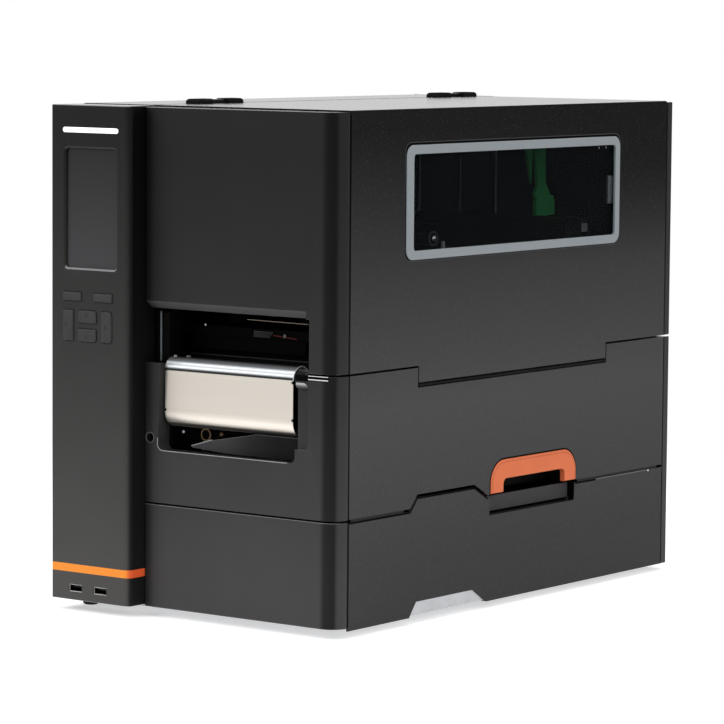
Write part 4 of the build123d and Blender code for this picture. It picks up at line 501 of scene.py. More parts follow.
def cast_metal(name, colour, rough):
    """Cast or plated metal: a fine uneven skin with slight stains."""
    finish = Finish(name)
    skin = finish.noise(900, 3, 0.6)
    stain = finish.noise(60, 3, 0.6)
    return finish.done(Base_Color=finish.varied(stain, colour, 0.78, 1.12), Metallic=1.0,
                       Roughness=rough + (stain - 0.5) * 0.2 + (skin - 0.5) * 0.1,
                       Normal=finish.bump(skin, 0.03 * MM, 0.6))


def rubber(name, colour, rough):
    """Matt rubber with a dusty bloom."""
    finish = Finish(name)
    bloom = finish.noise(80, 3, 0.6)
    return finish.done(Base_Color=finish.varied(bloom, colour, 1, 1.6), Specular_IOR_Level=0.3,
                       Roughness=rough + (bloom - 0.5) * 0.16,
                       Normal=finish.bump(finish.noise(1800, 2, 0.6), 0.03 * MM, 0.6))


def circuit_board(name, colour):
    """Green lacquered board with copper tracks under the lacquer."""
    finish = Finish(name)
    tracks = finish.node("ShaderNodeTexBrick", None, {"Vector": finish.place, "Scale": 160.0,
                                                      "Mortar Size": 0.06, "Row Height": 0.6}, "Fac")
    return finish.done(Base_Color=finish.varied(tracks, colour, 1, 2.2), Roughness=0.32 + tracks * 0.1,
                       Specular_IOR_Level=0.5, Normal=finish.bump(tracks, 0.03 * MM, 0.5))


def light_diffuser(name):
    """Milky bar lit from behind, cloudy in its glow."""
    finish = Finish(name)
    cloud = finish.noise(90, 2, 0.5)
    glow = finish.mixed(cloud, (0.92, 0.96, 1.0), (1.0, 1.0, 1.0))
    return finish.done(Base_Color=(0.85, 0.88, 0.9), Roughness=0.3 + cloud * 0.1, Emission_Color=glow,
                       Emission_Strength=0.75)


def dark_display(name):
    """Unlit screen: near black, with painted light making it a little lighter towards its foot, and a faint
    dust of roughness.
    """
    low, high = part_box("display_module")
    finish = Finish(name)
    base = finish.mixed(finish.axis_share("Z", low.z, high.z), (0.052, 0.050, 0.053), (0.017, 0.0155, 0.0165))
    return finish.done(Base_Color=base, Roughness=0.30 + finish.noise(700, 3, 0.6) * 0.12,
                       Specular_IOR_Level=0.15)


def smoked_glass(name, colour, cover):
    """Smoked pane: see-through for what lies behind it, glossy on top."""
    finish = Finish(name)
    smear = finish.noise(26, 3, 0.6)
    wipe = finish.noise(3.0, 3, 0.6, (1, 3, 14))
    return finish.done(Base_Color=finish.varied(smear, colour, 1, 1.5), Roughness=0.05 + smear * 0.05,
                       Specular_IOR_Level=0.05, Alpha=cover + (wipe - 0.5) * 0.1)


def steel_with_painted_reflections(name, colour, low, high, stops, metallic=1.0, rough=0.36):
    """Polished sheet with painted reflections: its colour runs in bands along it, brighter and darker by
    height.
    """
    finish = Finish(name)
    hair = finish.noise(1.0, 4, 0.6, (5, 900, 900))
    cloud = finish.noise(22, 3, 0.5, (0.6, 1, 2.2))
    painted_bands = finish.steps(finish.axis_share("Z", low, high), stops)
    base = finish.tinted(finish.varied(hair * 0.4 + cloud * 0.6, colour, 0.96, 1.04), painted_bands)
    return finish.done(Base_Color=base, Metallic=metallic, Roughness=rough + (hair - 0.5) * 0.06,
                       Specular_IOR_Level=0.3, Normal=finish.bump(hair, 0.002 * MM, 0.2))


def plastic_with_painted_light(name, colour, low, high, stops):
    """Satin plastic with painted highlights and shade: its tone runs in bands by height."""
    finish = Finish(name)
    grain = finish.noise(1600, 2, 0.55)
    painted_bands = finish.steps(finish.axis_share("Z", low, high), stops)
    base = finish.tinted(finish.varied(grain, colour, 0.92, 1.08), painted_bands)
    return finish.done(Base_Color=base, Roughness=0.36 + grain * 0.1, Specular_IOR_Level=0.2,
                       Normal=finish.bump(grain, 0.02 * MM, 0.6))


def stripe_plastic(name, colour, side):
    """Satin orange with painted shade: deeper and darker where the stripe turns round the corner to its side.
    """
    finish = Finish(name)
    grain = finish.noise(1800, 2, 0.55)
    base = finish.mixed(finish.axis_share("X", *STRIPE_TURN), finish.varied(grain, colour, 0.96, 1.04), side)
    return finish.done(Base_Color=base, Roughness=0.42 + grain * 0.08, Specular_IOR_Level=0.15,
                       Normal=finish.bump(grain, 0.02 * MM, 0.6))


def window_moulding(name, colour):
    """Grey moulding with painted shade: it goes dark on the clips behind the pane."""
    finish = Finish(name)
    grain = finish.noise(1300, 2, 0.55)
    base = finish.mixed(finish.axis_share("X", *CLIP_ENDS), times(colour, 0.16),
                        finish.varied(grain, colour, 0.94, 1.06))
    return finish.done(Base_Color=base, Roughness=0.38 + grain * 0.1, Specular_IOR_Level=0.3,
                       Normal=finish.bump(grain, 0.025 * MM, 0.7))


def socket_shell(name, colour, front):
    """Plated shell, bright at its front edge, with painted shade: dark inside."""
    finish = Finish(name)
    shaded_inside = finish.axis_share("Y", front + 0.15 * MM, front + 0.9 * MM)
    return finish.done(Base_Color=finish.mixed(shaded_inside, colour, (0.004, 0.004, 0.004)), Metallic=1.0 - shaded_inside,
                       Roughness=0.34 + finish.noise(900, 3, 0.6) * 0.2, Specular_IOR_Level=0.1)


# Finishes with no settings. Satin plastic: colour, roughness, grains to the metre, specular level.
# Rubber and cast metal: colour, roughness
PLAIN_FINISHES = {
    "black_moulding": (satin_plastic, (0.003, 0.003, 0.003), 0.5, 1600, 0.05),
    # Black for dark parts, and painted shade: the head, tear bar and bracket in the mouth, and plates over
    # gaps, recesses and bores
    "dark_works": (satin_plastic, (0.0015, 0.0015, 0.0015), 0.6, 1400, 0.02),
    # Painted highlights, bright: the seam's lines, the roll's end and a screw head
    "edge_bright": (satin_plastic, (0.75, 0.76, 0.77), 0.3, 1400, 0.4),
    # Painted highlights, light: the exit's lip, the wedge's edge, a rib and the pane's pegs
    "edge_light": (satin_plastic, (0.30, 0.30, 0.31), 0.35, 1400, 0.3),
    # Grey for a screw head and a clip, and faint painted highlights on a screw's rim, the seam's strip and
    # the wall's ribs
    "rim_light": (satin_plastic, (0.13, 0.13, 0.135), 0.4, 1400, 0.2),
    # Cool grey: a painted highlight on the cheek's edge, and a mark on the ribbon spindle
    "cheek_light": (satin_plastic, (0.20, 0.22, 0.235), 0.4, 1400, 0.2),
    "groove_light": (satin_plastic, (0.045, 0.044, 0.046), 0.4, 1400, 0.2),
    # Painted shade on the window frame's step, and a painted highlight on the hanger's end
    "step_dark": (satin_plastic, (0.13, 0.145, 0.155), 0.4, 1400, 0.2),
    # Painted highlight, warm: the edge under the mouth's bevel
    "warm_line": (satin_plastic, (0.17, 0.14, 0.11), 0.4, 1400, 0.2),
    "signal_red": (satin_plastic, (0.10, 0.008, 0.008), 0.5, 1400, 0.2),
    "guide_green": (satin_plastic, (0.017, 0.15, 0.042), 0.45, 1500, 0.1),
    # Painted shade: the inset line on the grip
    "grip_shade": (satin_plastic, (0.46, 0.085, 0.03), 0.5, 1500, 0.25),
    # The wedge's plastic, with painted shade that darkens it towards the right under the exit plate
    "wedge_plastic": (satin_plastic, (1.0, 0.98, 1.0), 0.55, 900, 0.08, WEDGE_TONES, WEDGE_SHADE_BANDS),
    "black_rubber": (rubber, (0.014, 0.014, 0.015), 0.75),
    "roller_rubber": (rubber, (0.03, 0.031, 0.034), 0.6),
    "belt_rubber": (rubber, (0.012, 0.012, 0.013), 0.65),
    "bearing_bronze": (cast_metal, (0.50, 0.31, 0.14), 0.4),
    "dark_bronze": (cast_metal, (0.13, 0.085, 0.05), 0.45),
    "cast_aluminium": (cast_metal, (0.46, 0.47, 0.49), 0.48),
    "zinc_steel": (cast_metal, (0.52, 0.53, 0.55), 0.34),
    "polished_steel": (brushed_metal, (0.66, 0.66, 0.67), 0.18),
    "frame_metal": (powder_coat, (0.0016, 0.0016, 0.0018)),
    # Painted highlight along the rounded ledge
    "ledge": (plastic_with_painted_light, (1.0, 1.0, 1.02), *LEDGE_HEIGHTS, LEDGE_PAINTED_HIGHLIGHT),
    "board_green": (circuit_board, (0.01, 0.075, 0.035)),
    "light_diffuser": (light_diffuser,),
    "display_front": (dark_display,),
}
# Painted shade: the darker, deeper orange of the stripe's side
STRIPE_SHADED_SIDE = (0.80, 0.115, 0.030)
SHELL_COLOUR = (0.62, 0.60, 0.58)
MATERIALS = {}


def set_finishes():
    """Finishes whose colours are among the settings."""
    casing, window = settings("casing"), settings("window")
    return {
        "side_metal": (powder_coat, casing.side_tint, SIDE_GREY_AND_PAINTED_LIGHT),
        # Front and column mouldings: painted light by height and bands of painted shade
        "front_plastic": (satin_plastic, casing.front_tint, 0.42, 1600, 0.08, FRONT_GREY_AND_PAINTED_LIGHT, FRONT_SHADE_BANDS),
        "column_plastic": (satin_plastic, casing.column_tint, 0.44, 1600, 0.08, COLUMN_GREY_AND_PAINTED_LIGHT, COLUMN_SHADE_BANDS),
        "key_plastic": (satin_plastic, casing.key_colour, 0.46, 2200, 0.25),
        "grip_orange": (satin_plastic, casing.grip_colour, 0.5, 1500, 0.25),
        "accent_orange": (stripe_plastic, casing.stripe_colour, STRIPE_SHADED_SIDE),
        "smoked_glass": (smoked_glass, window.glass_colour, window.glass_cover),
        "bright_steel": (brushed_metal, settings("exit").roll_colour, 0.24),
    }


def finish_of(slot):
    """The material for a slot of the record or a kind of trim, made when it is first asked for."""
    if slot not in MATERIALS:
        maker, *values = PLAIN_FINISHES.get(slot) or set_finishes()[slot]
        MATERIALS[slot] = maker(slot, *values)
    return MATERIALS[slot]


SLOT_OF_NODE = {part["node"]: part["material_slot"] for part in frame["record"]["subparts"]}


def body_of(node):
    """The body that a node of the frame belongs to."""
    return frame["nodes"][node]["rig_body"]


def paint(*nodes):
    """Gives nodes of the frame their finished material."""
    for node in nodes:
        piece = frame["nodes"][node]
        material = finish_of(SLOT_OF_NODE[node])
        if not piece.material_slots:
            piece.data.materials.append(material)
        for place in piece.material_slots:
            place.material = material


def placed(name, mesh, material, body):
    """Puts a mesh in the scene as a piece that rides on a body."""
    piece = bpy.data.objects.new(name, mesh)
    bpy.context.scene.collection.objects.link(piece)
    mesh.materials.clear()
    mesh.materials.append(material)
    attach(piece, body)
    return piece


def shade(mesh):
    """Smooth shading with sharp edges kept."""
    mesh.polygons.foreach_set("use_smooth", np.ones(len(mesh.polygons), bool))
    mesh.set_sharp_from_angle(angle=SHARP_ANGLE)
    mesh.update()


def round_edges(piece, width):
    """Rounds a piece's sharp edges."""
    bevel = piece.modifiers.new("edge", "BEVEL")
    bevel.width = width
    bevel.segments = 2
    bevel.limit_method = "ANGLE"
    bevel.angle_limit = SHARP_ANGLE
    bevel.use_clamp_overlap = True
    bevel.harden_normals = True
    return piece


def dressed(node, width, finish=None, below=None):
    """A copy of a node with its triangles joined into faces and its edges rounded, shown in its place.

    The copy is cut off level at the height below, if one is given.
    """
    mesh = bpy.data.meshes.new(node)
    work = bmesh.new()
    work.from_mesh(frame["nodes"][node].data)
    bmesh.ops.remove_doubles(work, verts=work.verts, dist=MERGE_DISTANCE)
    bmesh.ops.dissolve_limit(work, angle_limit=FLAT_ANGLE, verts=work.verts, edges=work.edges)
    if below:
        everything = work.verts[:] + work.edges[:] + work.faces[:]
        cut = bmesh.ops.bisect_plane(work, geom=everything, plane_co=(0, 0, below), plane_no=(0, 0, 1),
                                     clear_outer=True)
        rim = [edge for edge in cut["geom_cut"] if isinstance(edge, bmesh.types.BMEdge)]
        bmesh.ops.holes_fill(work, edges=rim)
    work.to_mesh(mesh)
    work.free()
    shade(mesh)
    slot = SLOT_OF_NODE[node]
    piece = placed(node + ".skin", mesh, finish or finish_of(slot), body_of(node))
    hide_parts(node)
    return round_edges(piece, width)


def mesh_of(name, points, faces):
    """A mesh from arrays of points and faces, smooth where it is round."""
    mesh = bpy.data.meshes.new(name)
    mesh.from_pydata(np.asarray(points, float).reshape(-1, 3), [], [list(face) for face in faces])
    mesh.validate()
    shade(mesh)
    return mesh


def grid_faces(rows, columns, wrap_rows, wrap_columns):
    """Corner numbers of the quads of a grid of points, joined round at either end if asked."""
    row = np.arange(rows if wrap_rows else rows - 1)
    column = np.arange(columns if wrap_columns else columns - 1)
    row, column = (axis.ravel() for axis in np.meshgrid(row, column, indexing="ij"))
    next_row = (row + 1) % rows
    next_column = (column + 1) % columns
    corners = (row * columns + column, row * columns + next_column,
               next_row * columns + next_column, next_row * columns + column)
    return np.stack(corners, axis=1)


class Shape:
    """Surfaces of one piece, gathered as arrays and made one mesh."""

    def __init__(self):
        self.points = []
        self.faces = []
        self.count = 0

    def add(self, points, faces):
        """Adds points and the faces on them."""
        points = np.asarray(points, float).reshape(-1, 3)
        self.faces += [tuple(int(corner) + self.count for corner in face) for face in faces]
        self.points.append(points)
        self.count += len(points)
        return self

    def grid(self, surface, wrap_rows, wrap_columns):
        """Adds a surface given as an array of rows by columns by three, joined round either way if asked."""
        rows, columns = surface.shape[:2]
        return self.add(surface, grid_faces(rows, columns, wrap_rows, wrap_columns))

    def loft(self, rings):
        """Joins closed rings of points, all with as many points, and closes the first and last."""
        rings = np.asarray(rings, float)
        count = rings.shape[1]
        self.grid(rings, False, True)
        last = range(self.count - count, self.count)
        first = range(self.count - rings.size // 3, self.count - rings.size // 3 + count)
        self.faces += [tuple(first)[::-1], tuple(last)]
        return self

    def turned(self, centre, axis, reach, radius, steps):
        """Turns a profile round an axis: radius over reach, closed at both ends.

        A point is centre + reach along the axis + radius times (cos a, sin a) across it.
        """
        rings = np.tile(np.asarray(centre, float), (len(reach), steps, 1))
        rings[..., axis] += np.asarray(reach, float)[:, None]
        rings[..., others(axis)] += np.asarray(radius, float)[:, None, None] * circle(1.0, steps)
        return self.loft(rings)

    def mesh(self, name):
        """Makes the mesh, with its doubles merged and its faces pointing outwards."""
        mesh = mesh_of(name, np.concatenate(self.points), self.faces)
        work = bmesh.new()
        work.from_mesh(mesh)
        bmesh.ops.remove_doubles(work, verts=work.verts, dist=MERGE_DISTANCE)
        bmesh.ops.recalc_face_normals(work, faces=work.faces)
        work.to_mesh(mesh)
        work.free()
        shade(mesh)
        return mesh


def others(axis):
    """The two axes square to one."""
    return [index for index in range(3) if index != axis]


def circle(radius, steps=12):
    """Points of a circle about nought, as (cos a, sin a) times the radius."""
    angle = np.linspace(0, FULL_TURN, steps, endpoint=False)
    return radius * np.stack((np.cos(angle), np.sin(angle)), axis=1)


def arc(centre, radius, start, end, steps):
    """Points of an arc, as centre + radius * (cos a, sin a)."""
    angle = np.linspace(start, end, steps)
    return np.asarray(centre, float) + radius * np.stack((np.cos(angle), np.sin(angle)), axis=1)


def rectangle(low, high):
    """The four corners of a rectangle, from two of them."""
    return [low, (high[0], low[1]), high, (low[0], high[1])]


def rounded_rectangle(low, high, corner, steps):
    """A rectangle with quarter-circle corners, from two of its corners."""
    low, high = (np.asarray(place, float) for place in (low, high))
    points = []
    for quarter, (side, up) in enumerate(((1, 1), (-1, 1), (-1, -1), (1, -1))):
        middle = (low + high) / 2 + (side, up) * ((high - low) / 2 - corner)
        points.append(arc(middle, corner, quarter * QUARTER_TURN, (quarter + 1) * QUARTER_TURN, steps))
    return np.concatenate(points)


def upright(outline, place):
    """An outline of (y, z) stood up at a place across the machine."""
    return np.column_stack((np.full(len(outline), place), outline))


def hoop(centre, axis, radius):
    """A circle square to an axis, as centre + radius * (cos a, sin a) across it, closed on itself."""
    points = np.tile(np.asarray(centre, float), (HOOP_STEPS, 1))
    points[:, others(axis)] += arc((0, 0), radius, 0, FULL_TURN, HOOP_STEPS)
    return points


def swept(path, profile, across):
    """Carries a closed profile along a path.

    A point is path + u * side + v * across, with side square to the path's run and to across.
    """
    path = np.asarray(path, float)
    across = np.asarray(across, float)
    along = np.gradient(path, axis=0)
    along /= np.linalg.norm(along, axis=1, keepdims=True)
    side = np.cross(along, across)
    side /= np.linalg.norm(side, axis=1, keepdims=True)
    return path[:, None] + profile[None, :, :1] * side[:, None] + profile[None, :, 1:] * across


def rod(name, path, radius, finish, body, across=(0, 1, 0)):
    """A thin round rod along a path of points in millimetres."""
    rings = swept(np.asarray(path, float) * MM, circle(radius * MM), across)
    return placed(name, Shape().loft(rings).mesh(name), finish_of(finish), body)


def prism(name, outline, axis, span, finish, body, width=0.3):
    """A prism with rounded edges: an outline in millimetres, between two places on an axis."""
    rings = np.zeros((2, len(outline), 3))
    rings[..., others(axis)] = outline
    rings[0, :, axis], rings[1, :, axis] = span
    mesh = Shape().loft(rings * MM).mesh(name)
    return round_edges(placed(name, mesh, finish_of(finish), body), width * MM)


def slab(name, low, high, axis, span, finish, body, width=0.3):
    """A prism over a rectangle, from two of its corners."""
    return prism(name, rectangle(low, high), axis, span, finish, body, width)


def dome(name, centre, axis, radius, high, finish, body):
    """A screw head or boss: a disc that rises to a round crown by h = high * sqrt(1 - (r / radius) ** 2)."""
    turn = np.linspace(CROWN_START, math.pi / 2, CROWN_RINGS)
    reach = -high * np.cos(turn) * MM
    out = radius * np.sin(turn) * MM
    mesh = Shape().turned(np.asarray(centre, float) * MM, axis, reach, out, DOME_STEPS).mesh(name)
    return placed(name, mesh, finish_of(finish), body)


def side_shade(name, outline, body, proud=0.05, width=0.02, finish="dark_works"):
    """Thin trim on the outer face of the side's sheets: painted shade in black, unless a lighter finish makes
    it a painted highlight.
    """
    prism(name, outline, 0, (SIDE_FACE - TRIM_DEPTH, SIDE_FACE + proud), finish, body, width)


class PRINTER_OT_casing(bpy.types.Operator):
    """Makes the sheet metal casing: folded panels with rolled edges and the hinge blocks"""

    bl_idname = "printer.casing"
    bl_label = "Sheet metal casing"

    def execute(self, context):
        casing = settings("casing")
        for node in ("left_housing", "base_side_panel", "rear_panel", "lid_shell", "fold_panel"):
            dressed(node, casing.sheet_edge)
        dressed("hinge_blocks", casing.fitting_edge)
        self.seam_fittings()
        self.upright_seams()
        # Painted shade: a black plate over the pocket's end wall
        slab("pocket_end", (131.1, 79.0), (SIDE_FACE - TRIM_DEPTH, 91.3), 1, (102.8, 103.06), "dark_works",
             "root", 0.05)
        return {"FINISHED"}

    @staticmethod
    def seam_fittings():
        """Painted shade under the base panel's top edge and in the gap beside the grip, and a painted
        highlight on the strip and its screw behind the grip.
        """
        tab_top = 102.1
        drop = 1.5
        lean = 0.6
        edge = np.array([(PANEL_FRONT, BASE_TOP), (-134.0, BASE_TOP), (-124.5, tab_top), (-44.2, tab_top),
                         (-25.6, BASE_TOP)])
        under = edge[::-1] + [(0.0, -drop), (-lean, -drop), (lean, -drop), (lean, -drop), (0.0, -drop)]
        side_shade("seam_shade", np.concatenate((edge, under)), "root")
        gap = rectangle((104.2, BASE_TOP - drop), (136.0, BASE_TOP))
        side_shade("grip_gap", gap, "root", proud=0.06, width=0.05)
        strip = rectangle((136.8, 90.7), (218.0, BASE_TOP))
        # Painted highlight on the strip along the base panel's top edge
        side_shade("seam_strip", strip, "root", proud=0.08, width=0.05, finish="rim_light")
        dome("seam_screw", (SIDE_FACE, 219.7, 90.5), 0, 0.9, -0.25, "edge_bright", "root")

    @staticmethod
    def upright_seams():
        """Painted shade at the front and back edges of the base panel, the fold panel and the cover."""
        panels = (("base", "root", 8.0, 89.8), ("fold", body_of("fold_panel"), 93.7, 205.9),
                  ("lid", body_of("lid_shell"), 207.7, 408.0))
        ends = (("front", PANEL_FRONT, -215.1), ("back", 241.8, PANEL_BACK))
        for panel, body, low, high in panels:
            for end, start, stop in ends:
                side_shade(f"{panel}_{end}_shade", rectangle((start, low), (stop, high)), body)


class PRINTER_OT_mouldings(bpy.types.Operator):
    """Makes the moulded fronts, rear walls and control column"""

    bl_idname = "printer.mouldings"
    bl_label = "Mouldings"
    stripe_edge = 0.15 * MM

    def execute(self, context):
        casing = settings("casing")
        for node in ("lid_front", "exit_cover", "lower_front_panel", "lid_rear", "media_rear_wall"):
            dressed(node, casing.moulded_edge)
        dressed("column_shell", casing.fitting_edge)
        dressed("accent_stripe", self.stripe_edge)
        self.exit_trim()
        return {"FINISHED"}

    @staticmethod
    def exit_trim():
        """Painted highlights on the exit's lip, its screw's rim, the ledge at its right, the seam's lines and
        under the mouth; painted shade in the recess at its right and in the seam's gap.
        """
        # Painted highlight round the screw's hole
        rod("screw_rim", hoop((-50.1, -231.75, 145.6), 1, 4.2), 0.28, "rim_light", "root")
        left, floor, corner = -37.0, 135.8, 5.5
        bend = arc((left, floor + corner), corner, math.pi * 1.02, math.pi * 1.5, BEND_STEPS)
        lip = np.concatenate(([(-42.2, 146.0)], bend, [(89.5, floor)]))
        # Painted highlight along the exit's lip
        rod("exit_lip", np.insert(lip, 1, COVER_FACE, axis=1), 0.34, "edge_light", "root")
        # Painted shade: black plates in the recess and the seam's gap
        for name, low, high, face in (("exit_recess", (97.2, 201.4), (109.8, 206.0), -231.9),
                                      ("seam_gap", (110.0, 203.5), (129.0, 205.6), -231.85)):
            slab(name, low, high, 1, (face, COVER_FACE), "dark_works", "root", 0.1)
        # Painted highlights: the seam's two bright lines
        for name, height, radius in (("seam_line", 203.1, 0.42), ("seam_line_two", 205.8, 0.3)):
            path = [(place, COVER_FACE - TRIM_DEPTH, height) for place in (110.0, 120.0, 129.0)]
            rod(name, path, radius, "edge_bright", "root", (0, 0, 1))
        # The ledge beside the exit, with a painted highlight along its rounded top
        ledge = np.array([-228.2, 198.4]) + circle(3.3, BUSH_STEPS)
        prism("exit_ledge", ledge, 0, (97.3, 109.6), "ledge", "root", 0.4)
        # Painted highlight under the mouth's bevel
        rod("mouth_line", [(44.0, -225.0, 245.7), (75.0, -225.0, 245.4), (104.5, -225.0, 245.2)], 0.28,
            "warm_line", body_of("lid_front"), (0, 0, 1))


class PRINTER_OT_controls(bpy.types.Operator):
    """Makes the keys, light bar, screen and front sockets"""

    bl_idname = "printer.controls"
    bl_label = "Controls"
    key_edge = 0.25 * MM
    socket_edge = 0.12 * MM

    def execute(self, context):
        casing = settings("casing")
        for node in ("soft_key_left", "soft_key_right", "arrow_key_left", "arrow_key_right",
                     "arrow_key_up", "arrow_key_down"):
            dressed(node, self.key_edge)
        dressed("light_bar", casing.fitting_edge)
        paint("display_module", "key_domes", "front_board")
        low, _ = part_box("front_sockets")
        dressed("front_sockets", self.socket_edge, finish=socket_shell("socket_shell", SHELL_COLOUR, low.y))
        return {"FINISHED"}


class PRINTER_OT_window(bpy.types.Operator):
    """Makes the window frame and its smoked pane"""

    bl_idname = "printer.window"
    bl_label = "Window"
    flange = np.array(((-142.1, 293.0), (166.2, 382.5)))
    flange_proud = 0.8
    flange_corner = 8.5
    frame_edge = 0.5 * MM

    def execute(self, context):
        frame_colour = settings("window").frame_colour
        dressed("window_frame", self.frame_edge, finish=window_moulding("window_moulding", frame_colour))
        paint("window_pane")
        proud = cad_box[1][0] / MM
        face = proud - self.flange_proud
        self.ring("window_groove", ((2.4, 1.3), (1.0, 2.6)), (face - 0.2, face + 0.06))
        self.line("groove_line", ((2.7, 1.7), (1.3, 3.0)), face, 0.3, "groove_light")
        # Painted shade along the frame's step
        self.line("frame_step", ((-2.6, -0.6), (-0.6, -0.5)), proud - 0.33, 0.32, "step_dark")
        body = body_of("window_frame")
        # Pegs with painted highlights
        for number, place in enumerate((139.8, 150.5)):
            dome(f"pane_peg_{number}", (134.5, place, 373.8), 0, 0.9, -0.5, "edge_light", body)
        return {"FINISHED"}

    def outline(self, grown):
        """The flange's outline, grown at its low and high corners."""
        low, high = self.flange + np.array(((-1,), (1,))) * grown
        return rounded_rectangle(low, high, self.flange_corner, CORNER_STEPS)

    def ring(self, name, grown, span):
        """Painted shadow: a thin dark ring round the flange, where the cover's cut-out shades it."""
        inner, outer = self.outline(((0, 0), (0, 0))), self.outline(grown)
        corners = ((inner, span[0]), (outer, span[0]), (outer, span[1]), (inner, span[1]))
        mesh = Shape().grid(np.stack([upright(*corner) for corner in corners]) * MM, True, True).mesh(name)
        placed(name, mesh, finish_of("dark_works"), body_of("window_frame"))

    def line(self, name, grown, place, radius, finish):
        """A thin line along the flange's outline."""
        outline = self.outline(grown)
        path = upright(np.concatenate((outline, outline[:1])), place)
        rod(name, path, radius, finish, body_of("window_frame"), (1, 0, 0))


class PRINTER_OT_grip(bpy.types.Operator):
    """Makes the coloured grip of the folding panel and the box behind it"""

    bl_idname = "printer.grip"
    bl_label = "Grip"
    grip_edge = 0.4 * MM

    def execute(self, context):
        dressed("grip", self.grip_edge)
        dressed("grip_back", settings("casing").fitting_edge)
        body = body_of("grip")
        # Painted shade: a dark outline in the gap round the grip
        outline = np.concatenate((self.arch(1.3), self.arch(-0.3)[::-1]))
        side_shade("grip_outline", outline, body)
        # Painted shade: a darker inset line on the grip
        line = np.concatenate((self.arch(-1.9), self.arch(-2.5)[::-1]))
        prism("grip_line", line, 0, (138.5, 138.82), "grip_shade", body, 0.01)
        return {"FINISHED"}

    @staticmethod
    def arch(grow):
        """The grip's outline as an arch with quarter-circle corners, grown outwards by a margin."""
        start, stop, foot, top, corner = -21.6, 104.4, 94.3, 121.2, 19.0
        rise = arc((start + corner, top - corner), corner + grow, math.pi, QUARTER_TURN, BEND_STEPS)
        fall = arc((stop - corner, top - corner), corner + grow, QUARTER_TURN, 0, BEND_STEPS)
        return np.concatenate(([(start - grow, foot)], rise, fall, [(stop + grow, foot)]))


